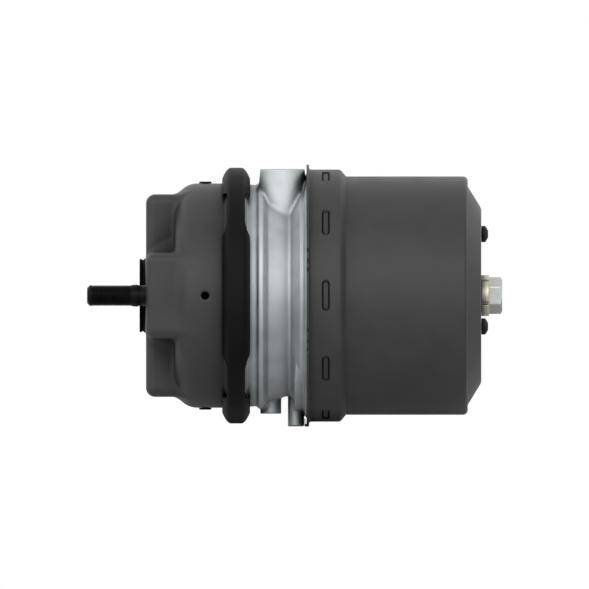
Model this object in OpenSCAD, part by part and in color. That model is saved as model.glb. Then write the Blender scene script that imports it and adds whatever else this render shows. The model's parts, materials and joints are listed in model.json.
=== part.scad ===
// Combined service and parking brake actuator of an air disc brake.
// The axis is X. The mounting face is the plane x = 0, the mounting studs point towards -X
// and the release bolt towards +X. Z is up, and the two air ports are on top.
// It is drawn with the parking spring compressed by air, so both chambers are at rest.

/* [Mounting] */
// Diameter of the thread of the mounting studs
stud_d = 16; // [12:1:16]
// Distance between the axes of the two mounting studs
stud_spacing = 120.65; // [116:0.05:124]
// How far the mounting studs stand out of the mounting face
stud_reach = 44.5; // [30:0.5:60]
// Diameter of the head that holds a mounting stud from inside
stud_head_d = 24; // [20:0.5:26]
// Thickness of that head
stud_head_t = 5; // [3:0.5:8]
// Outer diameter of the rubber seal on the mounting face
seal_d = 56; // [52:0.5:64]
// How far the rubber seal stands out of the mounting face
seal_proud = 4.9; // [3:0.1:7]

/* [Service housing] */
// Outer diameter of the service housing
service_d = 169.4; // [166:0.2:170]
// Thickness of the pressed steel of both housings
wall = 3; // [2:0.1:3.4]
// Distance from the mounting face to the open end of the service housing
service_depth = 66.5; // [62:0.5:80]
// How far the mounting face stands in front of the shoulder of the housing
pad_h = 22; // [16:0.5:28]
// How far each of the four lobes of the mounting face reaches from the axis
pad_reach = 76.5; // [74.5:0.5:78]
// Width of each lobe
pad_w = 65; // [56:1:70]
// Radius of the edges and corners of the lobes
pad_edge_r = 7; // [4:0.5:9]
// Radius of the shoulder of the service housing
service_shoulder_r = 16.7; // [10:0.1:20]
// Diameter of the opening for the push rod
front_opening_d = 44; // [40:0.5:46]
// Diameter of the four drain holes
drain_d = 6; // [4:0.5:8]
// Distance of the drain holes from the mounting face
drain_x = 44.8; // [40:0.2:50]
// Diameter of the head of a drain plug
drain_plug_d = 9.5; // [9:0.1:12]

/* [Clamp] */
// How far the crown of the clamp band stands above the service housing
clamp_rise = 11.9; // [10.5:0.1:14]
// Width of the clamp band over its flanks
clamp_w = 21.1; // [19:0.1:24]
// Width of the crown, where the flanks are cut away
crown_w = 13.7; // [12:0.1:15]
// Thickness of the clamp band
clamp_t = 2.5; // [2:0.1:3]
// Outer corner radius of the clamp band
clamp_corner_r = 7.5; // [5:0.1:8]
// Distance of the cuts that end the flanks from the axis
flank_cut = 75.5; // [70:0.5:78]
// Diameter of the clamp bolt
clamp_bolt_d = 8; // [6:1:10]
// Width of the split in the clamp band
clamp_gap = 8; // [5:0.5:12]
// Thickness of the two lugs of the clamp band
lug_t = 5; // [4:0.5:7]

/* [Centre flange] */
// Width of the casting from the clamped face to the spring housing
flange_w = 51.5; // [50:0.5:56]
// Diameter of the collar beside the clamp
collar_d = 167.6; // [166:0.2:168]
// Diameter of the waist between the two chambers, at its narrow rear end
waist_d = 151; // [148:0.5:156]
// How much larger the radius of the waist is at its front end
waist_taper = 5; // [0:0.5:6]
// Width of the waist
waist_w = 16.7; // [15:0.1:18]
// Diameter of the ridge between the collar and the waist
ridge_d = 170.6; // [170:0.2:174]
// How far the shoulder that meets the spring housing stands out round the spigot
shoulder_rise = 0.35; // [0.2:0.05:2]
// How far the spigot reaches into the spring housing
spigot_l = 21; // [19:0.5:24]
// Thickness of the web between the two chambers
web_t = 10; // [8:0.5:14]
// Diameter of the two port bosses
port_boss_d = 33.7; // [28:0.1:36]
// How much the radius of a port boss grows per millimetre downwards
port_boss_draft = 0.1; // [0:0.01:0.12]
// Height of the port bosses above the axis
port_h = 95.6; // [92:0.2:100]
// Distance of each port from the middle plane
port_y = 25; // [22:0.5:28]
// Core diameter of the port threads
port_d = 14.5; // [10:0.1:16]
// Depth of the port threads
port_depth = 14; // [10:0.5:16]
// Diameter of the air passages below the ports
passage_d = 8; // [5:0.5:8]
// Diameter of the front boss underneath
boss_a_d = 15.8; // [12:0.2:18]
// Depth of the front boss below the axis
boss_a_h = 89.2; // [86:0.2:94]
// Diameter of the rear boss underneath
boss_b_d = 12.8; // [10:0.2:13]
// Depth of the rear boss below the axis
boss_b_h = 98.8; // [94:0.2:102]

/* [Spring housing] */
// Outer diameter of the spring housing over its long part
spring_d = 180; // [176:0.5:182]
// Outer diameter of the mouth that fits over the casting
mouth_d = 190.4; // [188:0.2:193]
// Length of the spring housing
spring_housing_l = 132; // [128:0.5:150]
// Length of the wide mouth
mouth_l = 25.7; // [25:0.1:30]
// Length of the step from the mouth to the long part
step_l = 4; // [3:0.1:8]
// How far the lip stands out round the mouth
lip_rise = 3.7; // [2.5:0.1:5]
// Thickness of that lip
lip_flare_t = 2; // [1.5:0.1:2.5]
// Number of pressed stakes round the mouth
stake_count = 10; // [6:1:12]
// Width of a stake
stake_w = 6.2; // [5:0.1:7]
// Length of a stake round the mouth
stake_l = 23.6; // [18:0.2:28]
// Depth of a stake
stake_depth = 1.2; // [0.8:0.1:1.4]
// Length of the cone at the rear end
rear_cone_l = 10.2; // [8:0.2:14]
// Diameter of the flat rear end
rear_end_d = 134; // [130:1:138]
// Diameter of the three vent caps
vent_d = 12.4; // [10:0.2:15]
// Height of the vent caps
vent_h = 5.1; // [3:0.1:6]
// Length of the chamfer round a vent cap
vent_chamfer = 2.4; // [0.5:0.1:2.8]
// Distance of the vent caps from the axis
vent_r = 46.5; // [40:0.5:54]

/* [Parking mechanism] */
// Stroke of the parking piston and of the push rod
stroke = 57; // [50:0.5:60]
// Length of the compressed power spring
power_spring_l = 68; // [64:0.5:72]
// Wire diameter of the power spring
power_wire_d = 12.5; // [10:0.5:12.5]
// Mean diameter of the power spring
power_mean_d = 116; // [100:1:117]
// Outer diameter of the piston tube
tube_d = 40; // [38:0.5:44]
// Inner diameter of the piston tube
tube_bore_d = 30; // [29:0.5:31]
// Thickness of the piston plate
piston_t = 5; // [4:0.5:5]
// Length of the skirt of the piston
skirt_l = 22; // [20:0.5:26]
// Depth of the piston dish from its plate to its skirt
piston_dish = 26.5; // [26:0.5:30]

/* [Service mechanism] */
// Diameter of the push rod
rod_d = 22; // [18:0.5:24]
// How far the tip of the push rod stands out of the mounting face
rod_proud = 3; // [1:0.5:8]
// Diameter of the push plate
push_plate_d = 118; // [108:1:120]
// Thickness of the diaphragm
diaphragm_t = 3; // [2.5:0.1:3.5]
// Wire diameter of the return spring
return_wire_d = 4; // [3:0.2:5]
// Number of folds of the rubber boot
boot_folds = 6; // [4:1:8]

/* [Release bolt] */
// Thread diameter of the release bolt
release_d = 16; // [14:0.5:16]
// Width across the flats of its head
release_af = 24; // [22:0.5:27]
// Height of its head
release_head_h = 9.9; // [8:0.1:14]
// Diameter of the release nut and its lock ring
release_nut_d = 31; // [28:0.5:34]
// Height of the release nut outside the housing
release_nut_h = 2.9; // [2:0.1:6]
// Height of the lock ring
lock_ring_h = 2.9; // [2:0.1:5]
// Number of notches in the lock ring
notch_count = 5; // [4:1:8]

/* [Fits] */
// Gap between pieces that are seated on each other
seat = 0.05; // [0.02:0.01:0.1]
// Gap between pieces that move past each other without touching
gap = 0.3; // [0.2:0.05:0.4]
// Radial clearance of the running fits
running = 0.05; // [0.02:0.01:0.1]

/* [Hidden] */
$fn = 96;
// Straight steps in each rounded corner of an outline
corner_steps = 5;
// Pitch of closed turns, as a share of the wire's diameter
closed_pitch = 1.06;
// A length that reaches past everything, for cuts
far = 400;

// Colours of the real materials
e_coat = [0.22, 0.22, 0.23];
clamp_black = [0.10, 0.10, 0.11];
cast_alu = [0.70, 0.72, 0.74];
rubber = [0.05, 0.05, 0.05];
zinc = [0.76, 0.70, 0.52];
steel = [0.55, 0.56, 0.58];
spring_green = [0.30, 0.42, 0.36];
bronze = [0.62, 0.48, 0.24];
black_plastic = [0.07, 0.07, 0.08];

// Radii and diameters from the sizes above
service_r = service_d / 2;
clamp_d = service_d + 2 * clamp_rise;
spring_r = spring_d / 2;
mouth_r = mouth_d / 2;
lip_flare_r = mouth_r + lip_rise;
rod_r = rod_d / 2;
tube_r = tube_d / 2;
tube_bore_r = tube_bore_d / 2;
collar_r = collar_d / 2;
waist_r = waist_d / 2;

// Stations along the axis, from the front to the rear
bead_x = service_depth + seat;
cast_x = bead_x + diaphragm_t + seat;
shoulder_x = cast_x + flange_w;
spigot_x = shoulder_x + spigot_l;
house_x = shoulder_x + seat;
rear_x = house_x + spring_housing_l;
spring_end_x = rear_x - wall - seat;
piston_x = spring_end_x - power_spring_l - seat - piston_t;
clamp_x = (service_depth + cast_x) / 2;

// The two clamped lips make a wedge that the clamp band grips
lip_r = clamp_d / 2 - clamp_t - gap;
lip_half = 4.9;
lip_root_half = clamp_w / 2 - clamp_t - seat - 0.1;
lip_root_r = service_r + 1.3;

// The web between the chambers, with the dish for the diaphragm in front of it. It lies as far
// back as the full stroke of the push plate behind the front wall needs.
plate_t = 3;
dish_mouth_r = service_r - wall - 0.2;
dish_floor_r = 64;
web_x = pad_h + wall + gap + stroke + plate_t + gap + diaphragm_t + gap;
waist_x = cast_x + 22.6;
pocket_r = 60;
hub_r = 34;
port_x = waist_x + waist_w / 2 + 2.5;
passage_z = 64;
rear_dish_r = 84;
cast_pad_x = waist_x + waist_w + 3.2;
cast_pad_r = collar_r + 3.2;
spigot_r = mouth_r - wall - seat;
shoulder_r = spigot_r + shoulder_rise;
boss_b_gap = 1.4;
housing_groove_x = shoulder_x + 5;
housing_groove_w = 4;
housing_groove_depth = 3.5;

// The guide of the piston tube in the hub
bush_t = 2.5;
bush_l = 10;
bush_x = web_x + 9;
guide_seal_t = 3;
bush_retainer_t = 1.5;
hub_x = bush_x + bush_l + guide_seal_t + bush_retainer_t + 4 * seat + 0.8;
bore_r = tube_r + gap + 0.1;

// The piston, its tube and what closes them
tube_x = web_x;
tube_end_x = piston_x + piston_t;
cap_t = 8;
collar_flange_t = 6;
collar_flange_reach = 4;
skirt_r = spring_r - wall - 2 * gap + 0.2;
skirt_x = piston_x + piston_dish;
skirt_t = 6;
seat_flat_r = power_mean_d / 2 + power_wire_d / 2 + 2;

// Grooves in the skirt of the piston, for its seal and for the ring that guides it
seal_groove_x = skirt_x + 6;
seal_groove_w = 6;
seal_groove_depth = 3.2;
seal_back_w = 2;
wear_groove_x = skirt_x + 15;
wear_groove_w = 4;
wear_groove_depth = 2;

// The push rod, its plate and the diaphragm behind it
diaphragm_x = web_x - gap - diaphragm_t;
plate_x = diaphragm_x - gap - plate_t;
seal_recess = 1.2;
stud_collar_r = stud_d / 2 + 0.4;
opening_r = front_opening_d / 2;
retainer_r = opening_r + 9;
retainer_t = 1.5;
retainer_base_t = 2.5;
retainer_h = 5;
bead_t = 2;

// The release bolt
lock_ring_x = rear_x + release_nut_h + seat;
head_x = lock_ring_x + lock_ring_h + seat;
nut_bore_r = release_d / 2 + running;
journal_r = 5;
washer_t = 2.4;
washer_x = piston_x - stroke - washer_t - 2;
collar_bore_r = release_d / 2 + 2 * gap;

// Notches of the lock ring, with the angle of the first one from the top
notch_w = 2.8;
notch_depth = 2;
notch_start = 41;

// Turns a shape drawn round Z so that it lies round X, with its height along +X
module along_x() rotate([0, 90, 0]) children();

// Places its children at an angle round the axis: 0 is up, 90 is the near side (-Y)
module at_angle(a) rotate([a, 0, 0]) children();

// A solid of revolution round X from an outline of [radius, x] points
module turned(outline) along_x() rotate_extrude() polygon(outline);

// A plain ring round X
module ring(x, length, outer, inner)
    translate([x, 0, 0]) along_x() difference() {
        cylinder(h = length, r = outer);
        translate([0, 0, -1]) cylinder(h = length + 2, r = inner);
    }

// A plain disc or rod round X
module rod(x, length, r) translate([x, 0, 0]) along_x() cylinder(h = length, r = r);

function unit(v) = v / norm(v);

// The points of an arc of radius r that rounds corner b between its neighbours a and c
function arc(a, b, c, r) =
    let (u = unit(a - b), v = unit(c - b), half = acos(max(-1, min(1, u * v))) / 2)
    r <= 0 || half > 89.5 ? [b] :
    let (
        reach = min(r / tan(half), 0.49 * norm(a - b), 0.49 * norm(c - b)),
        radius = reach * tan(half),
        centre = b + unit(u + v) * radius / sin(half),
        from = b + u * reach - centre,
        to = b + v * reach - centre,
        start = atan2(from.y, from.x),
        swing = atan2(from.x * to.y - from.y * to.x, from * to)
    )
    [for (i = [0:corner_steps])
        let (t = start + swing * i / corner_steps) centre + radius * [cos(t), sin(t)]];

// An outline with its corners rounded. Each point is [radius, x, corner radius].
function rounded(points) =
    let (n = len(points), flat = [for (p = points) [p.x, p.y]])
    [for (i = [0:n - 1]) each arc(flat[(i + n - 1) % n], flat[i], flat[(i + 1) % n],
        len(points[i]) > 2 ? points[i][2] : 0)];

// A bar across the mounting face, from x = inset to x = depth, with rounded edges and corners
module pad_bar(inset, depth) {
    reach = pad_reach - inset;
    half = pad_w / 2 - inset;
    r = max(pad_edge_r - inset, 1);
    intersection() {
        rotate([90, 0, 0]) translate([0, 0, -far / 2]) linear_extrude(far)
            polygon(rounded([[inset, -reach, r], [inset, reach, r], [depth, reach], [depth, -reach]]));
        translate([0, 0, -far / 2]) linear_extrude(far)
            polygon(rounded([[inset, -half, r], [inset, half, r], [depth, half], [depth, -half]]));
        along_x() translate([0, 0, -1]) linear_extrude(far)
            polygon(rounded([[-reach, -half, r], [reach, -half, r], [reach, half, r], [-reach, half, r]]));
    }
}

// The two crossed bars that make the four lobes
module pad_cross(inset, depth) {
    pad_bar(inset, depth);
    at_angle(90) pad_bar(inset, depth);
}

// Pressed steel front housing, with the cross-shaped mounting pad
module service_housing() color(e_coat) {
    lip_front = clamp_x - lip_root_half;
    difference() {
        union() {
            turned(rounded([
                [0, pad_h], [service_r, pad_h, service_shoulder_r], [service_r, lip_front, 0.8],
                [lip_root_r, lip_front, 0.5], [lip_r, clamp_x - lip_half, 1], [lip_r, service_depth],
                [0, service_depth]
            ]));
            pad_cross(0, pad_h + service_shoulder_r);
        }
        turned(rounded([
            [0, pad_h + wall], [service_r - wall, pad_h + wall, service_shoulder_r - wall],
            [service_r - wall, lip_front + 2, 2], [lip_root_r, service_depth + 0.01], [0, service_depth + 0.01]
        ]));
        pad_cross(wall, pad_h + service_shoulder_r);
        rod(-1, wall + 2, opening_r);
        rod(-1, 1 + seal_recess, seal_d / 2 + seat);
        for (y = [-1, 1]) translate([0, y * stud_spacing / 2, 0]) rod(-1, wall + 2, stud_collar_r + running);
        for (a = [0, 90, 180, 270]) at_angle(a)
            translate([drain_x, 0, service_r / 2]) cylinder(h = service_r, d = drain_d);
    }
}

// Two threaded studs whose D-shaped heads bear on the inside of the mounting face
module mounting_studs() color(steel) {
    chamfer = 2.3;
    flat = pad_reach - wall - seat - pad_edge_r / 2;
    for (side = [0, 180]) at_angle(side) {
        translate([0, -stud_spacing / 2, 0]) turned([
            [0, -stud_reach], [stud_d / 2 - chamfer, -stud_reach], [stud_d / 2, -stud_reach + chamfer],
            [stud_d / 2, 0], [stud_collar_r, 0], [stud_collar_r, wall + seat], [0, wall + seat]
        ]);
        intersection() {
            translate([0, -stud_spacing / 2, 0]) rod(wall + seat, stud_head_t, stud_head_d / 2);
            translate([0, -flat, -far / 2]) cube([far, far, far]);
        }
    }
}

// Rubber ring that seals the mounting face, with a groove round its edge
module mounting_seal() color(rubber) {
    bottom = seal_recess - seat;
    turned([
        [opening_r, bottom], [opening_r, -seal_proud], [seal_d / 2 - 1, -seal_proud],
        [seal_d / 2, -seal_proud + 1], [seal_d / 2 - 1.2, -seal_proud / 2], [seal_d / 2, -1],
        [seal_d / 2, bottom]
    ]);
}

// Steel ring that holds the front bead of the boot against the housing
module boot_retainer() color(zinc)
    turned(rounded([
        [opening_r + 2, wall + seat], [retainer_r, wall + seat, 1], [retainer_r, wall + retainer_h],
        [retainer_r - retainer_t, wall + retainer_h], [retainer_r - retainer_t, wall + retainer_base_t, 1],
        [opening_r + 2, wall + retainer_base_t]
    ]));

// Plugs in the three drain holes that are closed when the unit hangs as drawn
module drain_plugs() color(black_plastic)
    for (a = [0, 180, 270]) at_angle(a) translate([drain_x, 0, 0]) {
        translate([0, 0, service_r - wall - 1]) cylinder(h = wall + 2, d = drain_d - 2 * running);
        translate([0, 0, service_r + seat]) cylinder(h = 1.4, d1 = drain_plug_d, d2 = drain_plug_d - 0.8);
    }

// One-piece split band with wedge flanks and two lugs on the far side
module clamp_band() color(clamp_black) {
    half = clamp_w / 2;
    grip = lip_root_half + 0.1;
    inner = clamp_d / 2 - clamp_t;
    flank_r = service_r + 0.6;
    lug_y = clamp_bolt_y();
    difference() {
        union() {
            translate([clamp_x, 0, 0]) turned(rounded([
                [flank_r, -half], [clamp_d / 2, -half, clamp_corner_r], [clamp_d / 2, half, clamp_corner_r],
                [flank_r, half], [flank_r, grip], [lip_root_r, grip, 0.6], [inner, lip_half + 0.1, 0.8],
                [inner, -lip_half - 0.1, 0.8], [lip_root_r, -grip, 0.6], [flank_r, -grip]
            ]));
            for (side = [-1, 1]) translate([clamp_x, 0, side * (clamp_gap + lug_t) / 2]) {
                translate([0, lug_y, -lug_t / 2]) cylinder(h = lug_t, d = crown_w);
                translate([-crown_w / 2, inner + gap, -lug_t / 2]) cube([crown_w, lug_y - inner - gap, lug_t]);
            }
        }
        for (side = [-1, 1]) translate([clamp_x + side * (crown_w / 2 + far / 2), 0, 0])
            cube([far, 2 * flank_cut, 2 * flank_cut], center = true);
        translate([clamp_x, clamp_d / 2, 0]) cube([far, clamp_d, clamp_gap], center = true);
        translate([clamp_x, lug_y, -far / 2]) cylinder(h = far, d = clamp_bolt_d + 2 * gap);
    }
}

// Distance of the clamp bolt from the axis of the unit
function clamp_bolt_y() = clamp_d / 2 + crown_w / 2 + 4;

// Hexagon bolt across the lugs
module clamp_bolt() color(zinc)
    translate([clamp_x, clamp_bolt_y(), 0]) {
        outside = clamp_gap / 2 + lug_t + seat;
        translate([0, 0, -outside - 12]) cylinder(h = 2 * outside + 12, d = clamp_bolt_d);
        translate([0, 0, outside]) cylinder(h = 0.65 * clamp_bolt_d, r = 0.94 * clamp_bolt_d, $fn = 6);
    }

// Hexagon nut on the clamp bolt
module clamp_nut() color(zinc)
    translate([clamp_x, clamp_bolt_y(), -clamp_gap / 2 - lug_t - seat]) rotate([180, 0, 0]) difference() {
        cylinder(h = 0.95 * clamp_bolt_d, r = 0.94 * clamp_bolt_d, $fn = 6);
        translate([0, 0, -1]) cylinder(h = clamp_bolt_d + 2, d = clamp_bolt_d + 2 * running);
    }

// Die-cast body between the two chambers, with the ports and the guide of the piston tube
module centre_flange() color(cast_alu) difference() {
    boss_l = port_h - passage_z + passage_d;
    union() {
        turned(flange_outline());
        cast_pad();
        for (y = [-port_y, port_y]) translate([port_x, y, port_h - boss_l])
            cylinder(h = boss_l, r1 = port_boss_d / 2 + port_boss_draft * boss_l, r2 = port_boss_d / 2);
        translate([waist_x + boss_a_d / 8, 0, -boss_a_h]) cylinder(h = boss_a_h - waist_r + 6, d = boss_a_d);
        translate([shoulder_x - boss_b_d / 2 - boss_b_gap, 0, -boss_b_h])
            cylinder(h = boss_b_h - waist_r + 6, d = boss_b_d);
    }
    turned(front_dish_outline());
    turned(rear_dish_outline());
    // Bore of the piston tube, seat of the bush and its seals
    rod(web_x - 1, far, bore_r);
    rod(bush_x, far, tube_r + running + bush_t + seat);
    rod(web_x + 3, guide_seal_t + 2 * seat, tube_r + guide_seal_t + seat);
    // Port threads with their countersinks, and the passages to the two chambers
    for (y = [-port_y, port_y]) translate([port_x, y, 0]) {
        translate([0, 0, port_h - port_depth]) cylinder(h = port_depth + 1, d = port_d);
        translate([0, 0, port_h - 1]) cylinder(h = 1.1, d1 = port_d, d2 = port_d + 2.2);
        translate([0, 0, passage_z]) cylinder(h = port_h - passage_z - port_depth / 2, d = passage_d);
    }
    translate([cast_x, -port_y, passage_z]) along_x() cylinder(h = port_x - cast_x, d = passage_d);
    translate([port_x, port_y, passage_z]) along_x() cylinder(h = shoulder_x - port_x, d = passage_d);
    // Groove of the housing seal and groove that the stakes are pressed into
    ring(housing_groove_x, housing_groove_w, spigot_r + 5, spigot_r - housing_groove_depth);
    ring(stake_x() - stake_w / 2 - 0.4, stake_w + 0.8, spigot_r + 5, spigot_r - stake_depth);
}

// Raised pad on the rear flank of the casting, round the rear boss. It starts as a wedge at both
// sides, where a flat facet leaves the waist, and goes on as a part of a cylinder.
module cast_pad() {
    facet_r = waist_r + 2.1;
    facet_angle = 18.4;
    intersection() {
        rod(cast_pad_x, shoulder_x - 1.5 - cast_pad_x, cast_pad_r);
        translate([0, -far / 2, -far]) cube([far, far, far - 0.5 * facet_r]);
        at_angle(90 + facet_angle) translate([0, -far / 2, -far + facet_r]) cube([far, far, far]);
        at_angle(-90 - facet_angle) translate([0, -far / 2, -far + facet_r]) cube([far, far, far]);
    }
}

// Distance of the middle of the stakes from the mounting face
function stake_x() = house_x + lip_flare_t + 12.6;

// Half section of the outside of the casting
function flange_outline() = rounded([
    [0, cast_x], [lip_r, cast_x], [lip_r, clamp_x + lip_half, 1],
    [lip_root_r, clamp_x + lip_root_half, 0.5], [collar_r, clamp_x + lip_root_half, 0.5],
    [collar_r, waist_x - 11, 0.6], [collar_r - 0.9, waist_x - 10, 0.6], [collar_r, waist_x - 9, 0.6],
    [collar_r, waist_x - 8, 0.4], [ridge_d / 2, waist_x - 7.4, 0.6], [ridge_d / 2, waist_x - 4, 1.2],
    [waist_r + waist_taper, waist_x, 1.2], [waist_r, waist_x + waist_w - 0.7, 2],
    [waist_r + 2.2, waist_x + waist_w + 2, 1], [collar_r + 0.6, waist_x + waist_w + 5.5, 3],
    [collar_r + 2, shoulder_x - 3.2, 2], [shoulder_r - 1.6, shoulder_x - 1, 0.8],
    [shoulder_r, shoulder_x], [spigot_r, shoulder_x], [spigot_r, spigot_x - 1],
    [spigot_r - 1, spigot_x], [0, spigot_x]
]);

// Half section of the dish in front of the web
function front_dish_outline() = rounded([
    [0, web_x], [dish_floor_r, web_x, 4], [dish_mouth_r, cast_x, 0.5], [dish_mouth_r, cast_x - 1], [0, cast_x - 1]
]);

// Half section of the dish behind the web, with the pocket round the hub
function rear_dish_outline() = rounded([
    [0, hub_x], [hub_r, hub_x, 1], [hub_r, web_x + web_t, 3], [pocket_r, web_x + web_t, 4],
    [pocket_r, hub_x + 1, 1], [rear_dish_r - 6, hub_x + 5, 3], [rear_dish_r, shoulder_x + 3, 3],
    [rear_dish_r, spigot_x + 1], [0, spigot_x + 1]
]);

// Bearing bush of the piston tube
module guide_bush() color(bronze)
    ring(bush_x + seat, bush_l, tube_r + running + bush_t, tube_r + running);

// Ring that keeps the bush and the rear seal in the hub
module bush_retainer() color(steel)
    ring(bush_x + bush_l + guide_seal_t + 3 * seat, bush_retainer_t,
        tube_r + running + bush_t, tube_r + gap);

// Two rubber rings that seal the piston tube, one at each end of the bush
module rod_seals() color(rubber) {
    ring(web_x + 3 + seat, guide_seal_t, tube_r + guide_seal_t, tube_r + 0.1);
    ring(bush_x + bush_l + 2 * seat, guide_seal_t, tube_r + running + bush_t, tube_r + 0.1);
}

// Rubber ring between the casting and the spring housing
module housing_seal() color(rubber)
    ring(housing_groove_x + seat, housing_groove_w - 2 * seat, mouth_r - wall - 0.02,
        spigot_r - housing_groove_depth + seat);

// A stadium-shaped block that stands on a radius, for the stakes
module stake(r, h, w, l) translate([stake_x(), 0, r]) linear_extrude(h)
    polygon(rounded([
        [-w / 2, -l / 2, w / 2.05], [w / 2, -l / 2, w / 2.05], [w / 2, l / 2, w / 2.05], [-w / 2, l / 2, w / 2.05]
    ]));

// Outline of the spring housing, set in by a distance
function housing_line(inset) = [
    [mouth_r - inset, house_x + mouth_l + inset * 0.3, 3.5],
    [spring_r - inset, house_x + mouth_l + step_l + inset * 0.3, 1],
    [spring_r - inset, rear_x - rear_cone_l - inset, max(3.8 - inset, 0.8)],
    [rear_end_d / 2 + 15.5 - inset * 0.3, rear_x - rear_cone_l - inset],
    [rear_end_d / 2 - inset * 0.3, rear_x - 0.7 - inset, 1],
    [rear_end_d / 2 - 2, rear_x - inset]
];

// Pressed steel rear housing over the power spring
module spring_housing() color(e_coat) difference() {
    union() {
        turned(rounded(concat(
            [[mouth_r - wall, house_x], [lip_flare_r, house_x], [lip_flare_r, house_x + lip_flare_t, 0.5],
             [mouth_r, house_x + lip_flare_t, 2]],
            housing_line(0),
            [[nut_hole_r(), rear_x], [nut_hole_r(), rear_x - wall]],
            [for (i = [5:-1:0]) housing_line(wall)[i]]
        )));
        lip_hook();
        for (i = [0:stake_count - 1]) at_angle(90 + i * 360 / stake_count) intersection() {
            stake(mouth_r - 8, 8 - wall / 2, stake_w - 2, stake_l - 2);
            ring(stake_x() - stake_w, 2 * stake_w, mouth_r - wall / 2, mouth_r - wall - stake_depth + 0.3);
        }
    }
    for (i = [0:stake_count - 1]) at_angle(90 + i * 360 / stake_count) intersection() {
        stake(mouth_r - 8, 12, stake_w, stake_l);
        ring(stake_x() - stake_w, 2 * stake_w, mouth_r + 5, mouth_r - stake_depth);
    }
    for (a = [0, 120, 240]) at_angle(a) translate([0, 0, vent_r]) rod(rear_x - wall - 1, wall + 2, vent_stem_r());
}

// Hook at the bottom of the lip, bent forward beside the rear boss and then inward
module lip_hook() {
    tip_r = shoulder_r + gap;
    front_x = house_x - boss_b_gap;
    hook_t = 0.6;
    hook_w = 8;
    intersection() {
        turned([
            [lip_flare_r, house_x + lip_flare_t / 2], [lip_flare_r, front_x], [tip_r, front_x],
            [tip_r, front_x + hook_t], [lip_flare_r - lip_flare_t, front_x + hook_t],
            [lip_flare_r - lip_flare_t, house_x + lip_flare_t / 2]
        ]);
        translate([0, -hook_w / 2, -far]) cube([far, hook_w, far]);
    }
}

// Radius of the hole for the release nut and of the stems of the vents
function nut_hole_r() = release_nut_d / 2 - 3;
function vent_stem_r() = vent_d / 4;

// Three plastic vent caps with stems that clip into the rear end
module vent_caps() color(black_plastic)
    for (a = [0, 120, 240]) at_angle(a) translate([0, 0, vent_r]) {
        translate([rear_x + seat, 0, 0]) turned(rounded([
            [0, 0], [vent_d / 2, 0], [vent_d / 2, vent_h - vent_chamfer, 0.6],
            [vent_d / 2 - 0.7 * vent_chamfer, vent_h, 0.4], [0, vent_h]
        ]));
        rod(rear_x - wall, wall + seat, vent_stem_r() - running);
    }

// Threaded nut fixed in the rear end, which the release bolt turns in
module release_nut() color(zinc) difference() {
    union() {
        rod(rear_x + seat, release_nut_h - seat, release_nut_d / 2);
        rod(rear_x - wall - 2, wall + 3, nut_hole_r() - running);
    }
    rod(rear_x - wall - 3, far, nut_bore_r);
}

// Notched ring that locks the release nut
module lock_ring() color(zinc) difference() {
    rod(lock_ring_x, lock_ring_h, release_nut_d / 2);
    rod(lock_ring_x - 1, far, nut_bore_r + gap);
    for (i = [0:notch_count - 1]) at_angle(notch_start + i * 360 / notch_count)
        translate([lock_ring_x - 1, -notch_w / 2, release_nut_d / 2 - notch_depth])
            cube([lock_ring_h + 2, notch_w, far]);
}

// Rubber diaphragm with its clamped edge, lying back against the web
module diaphragm() color(rubber) {
    lean = 1.2;
    turned(rounded([
        [0, diaphragm_x], [dish_floor_r - 3, diaphragm_x, 4], [dish_mouth_r - 3.6, bead_x, 1.5],
        [lip_r - lean, bead_x], [lip_r - lean, bead_x + diaphragm_t], [dish_mouth_r - 0.6, bead_x + diaphragm_t, 1.5],
        [dish_floor_r - 0.6, diaphragm_x + diaphragm_t, 4], [0, diaphragm_x + diaphragm_t]
    ]));
}

// Folded rubber boot between the housing and the push rod
module pushrod_boot() color(rubber) {
    t = 2.5;
    bead_x = wall + retainer_base_t + 0.1;
    bead_r = retainer_r - retainer_t - 0.5;
    front_x = bead_x + bead_t + 1.9;
    back_x = plate_x - 14;
    pitch = (back_x - front_x) / boot_folds;
    small = rod_r + 4;
    large = opening_r + 3;
    folds = [for (i = [0:2 * boot_folds]) [i % 2 == 0 ? small : large, front_x + i * pitch / 2]];
    turned(concat(
        [[opening_r + 2.2, bead_x], [bead_r, bead_x], [bead_r, bead_x + bead_t], [small + t, front_x - t]],
        [for (i = [1:2 * boot_folds]) folds[i] + [t, 0]],
        [[small + t, back_x + 8], [rod_r + running, back_x + 8], [rod_r + running, back_x]],
        [for (i = [2 * boot_folds:-1:0]) folds[i]],
        [[small, front_x - 2.5 * t]]
    ));
}

// Push rod with its rounded tip
module pushrod() color(zinc) {
    tip_x = -rod_proud;
    union() {
        translate([tip_x + rod_r, 0, 0]) sphere(r = rod_r);
        rod(tip_x + rod_r, plate_x - tip_x - rod_r - seat, rod_r);
    }
}

// Steel plate that the diaphragm pushes, with a collar round the push rod's end
module push_plate() color(zinc)
    turned(rounded([
        [0, plate_x], [push_plate_d / 2, plate_x, 1], [push_plate_d / 2, plate_x + plate_t, 1],
        [0, plate_x + plate_t]
    ]));

// Height of the wire's middle along a spring, at a share t of its length. The first and last
// turns are closed, so that the spring seats squarely.
function helix_x(t, turns, x_a, x_b, wire) =
    let (share = 1 / turns, closed = closed_pitch * wire, low = x_a + wire / 2, high = x_b - wire / 2)
    t < share ? low + closed * t / share :
    t > 1 - share ? high - closed * (1 - t) / share :
    low + closed + (high - low - 2 * closed) * (t - share) / (1 - 2 * share);

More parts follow.
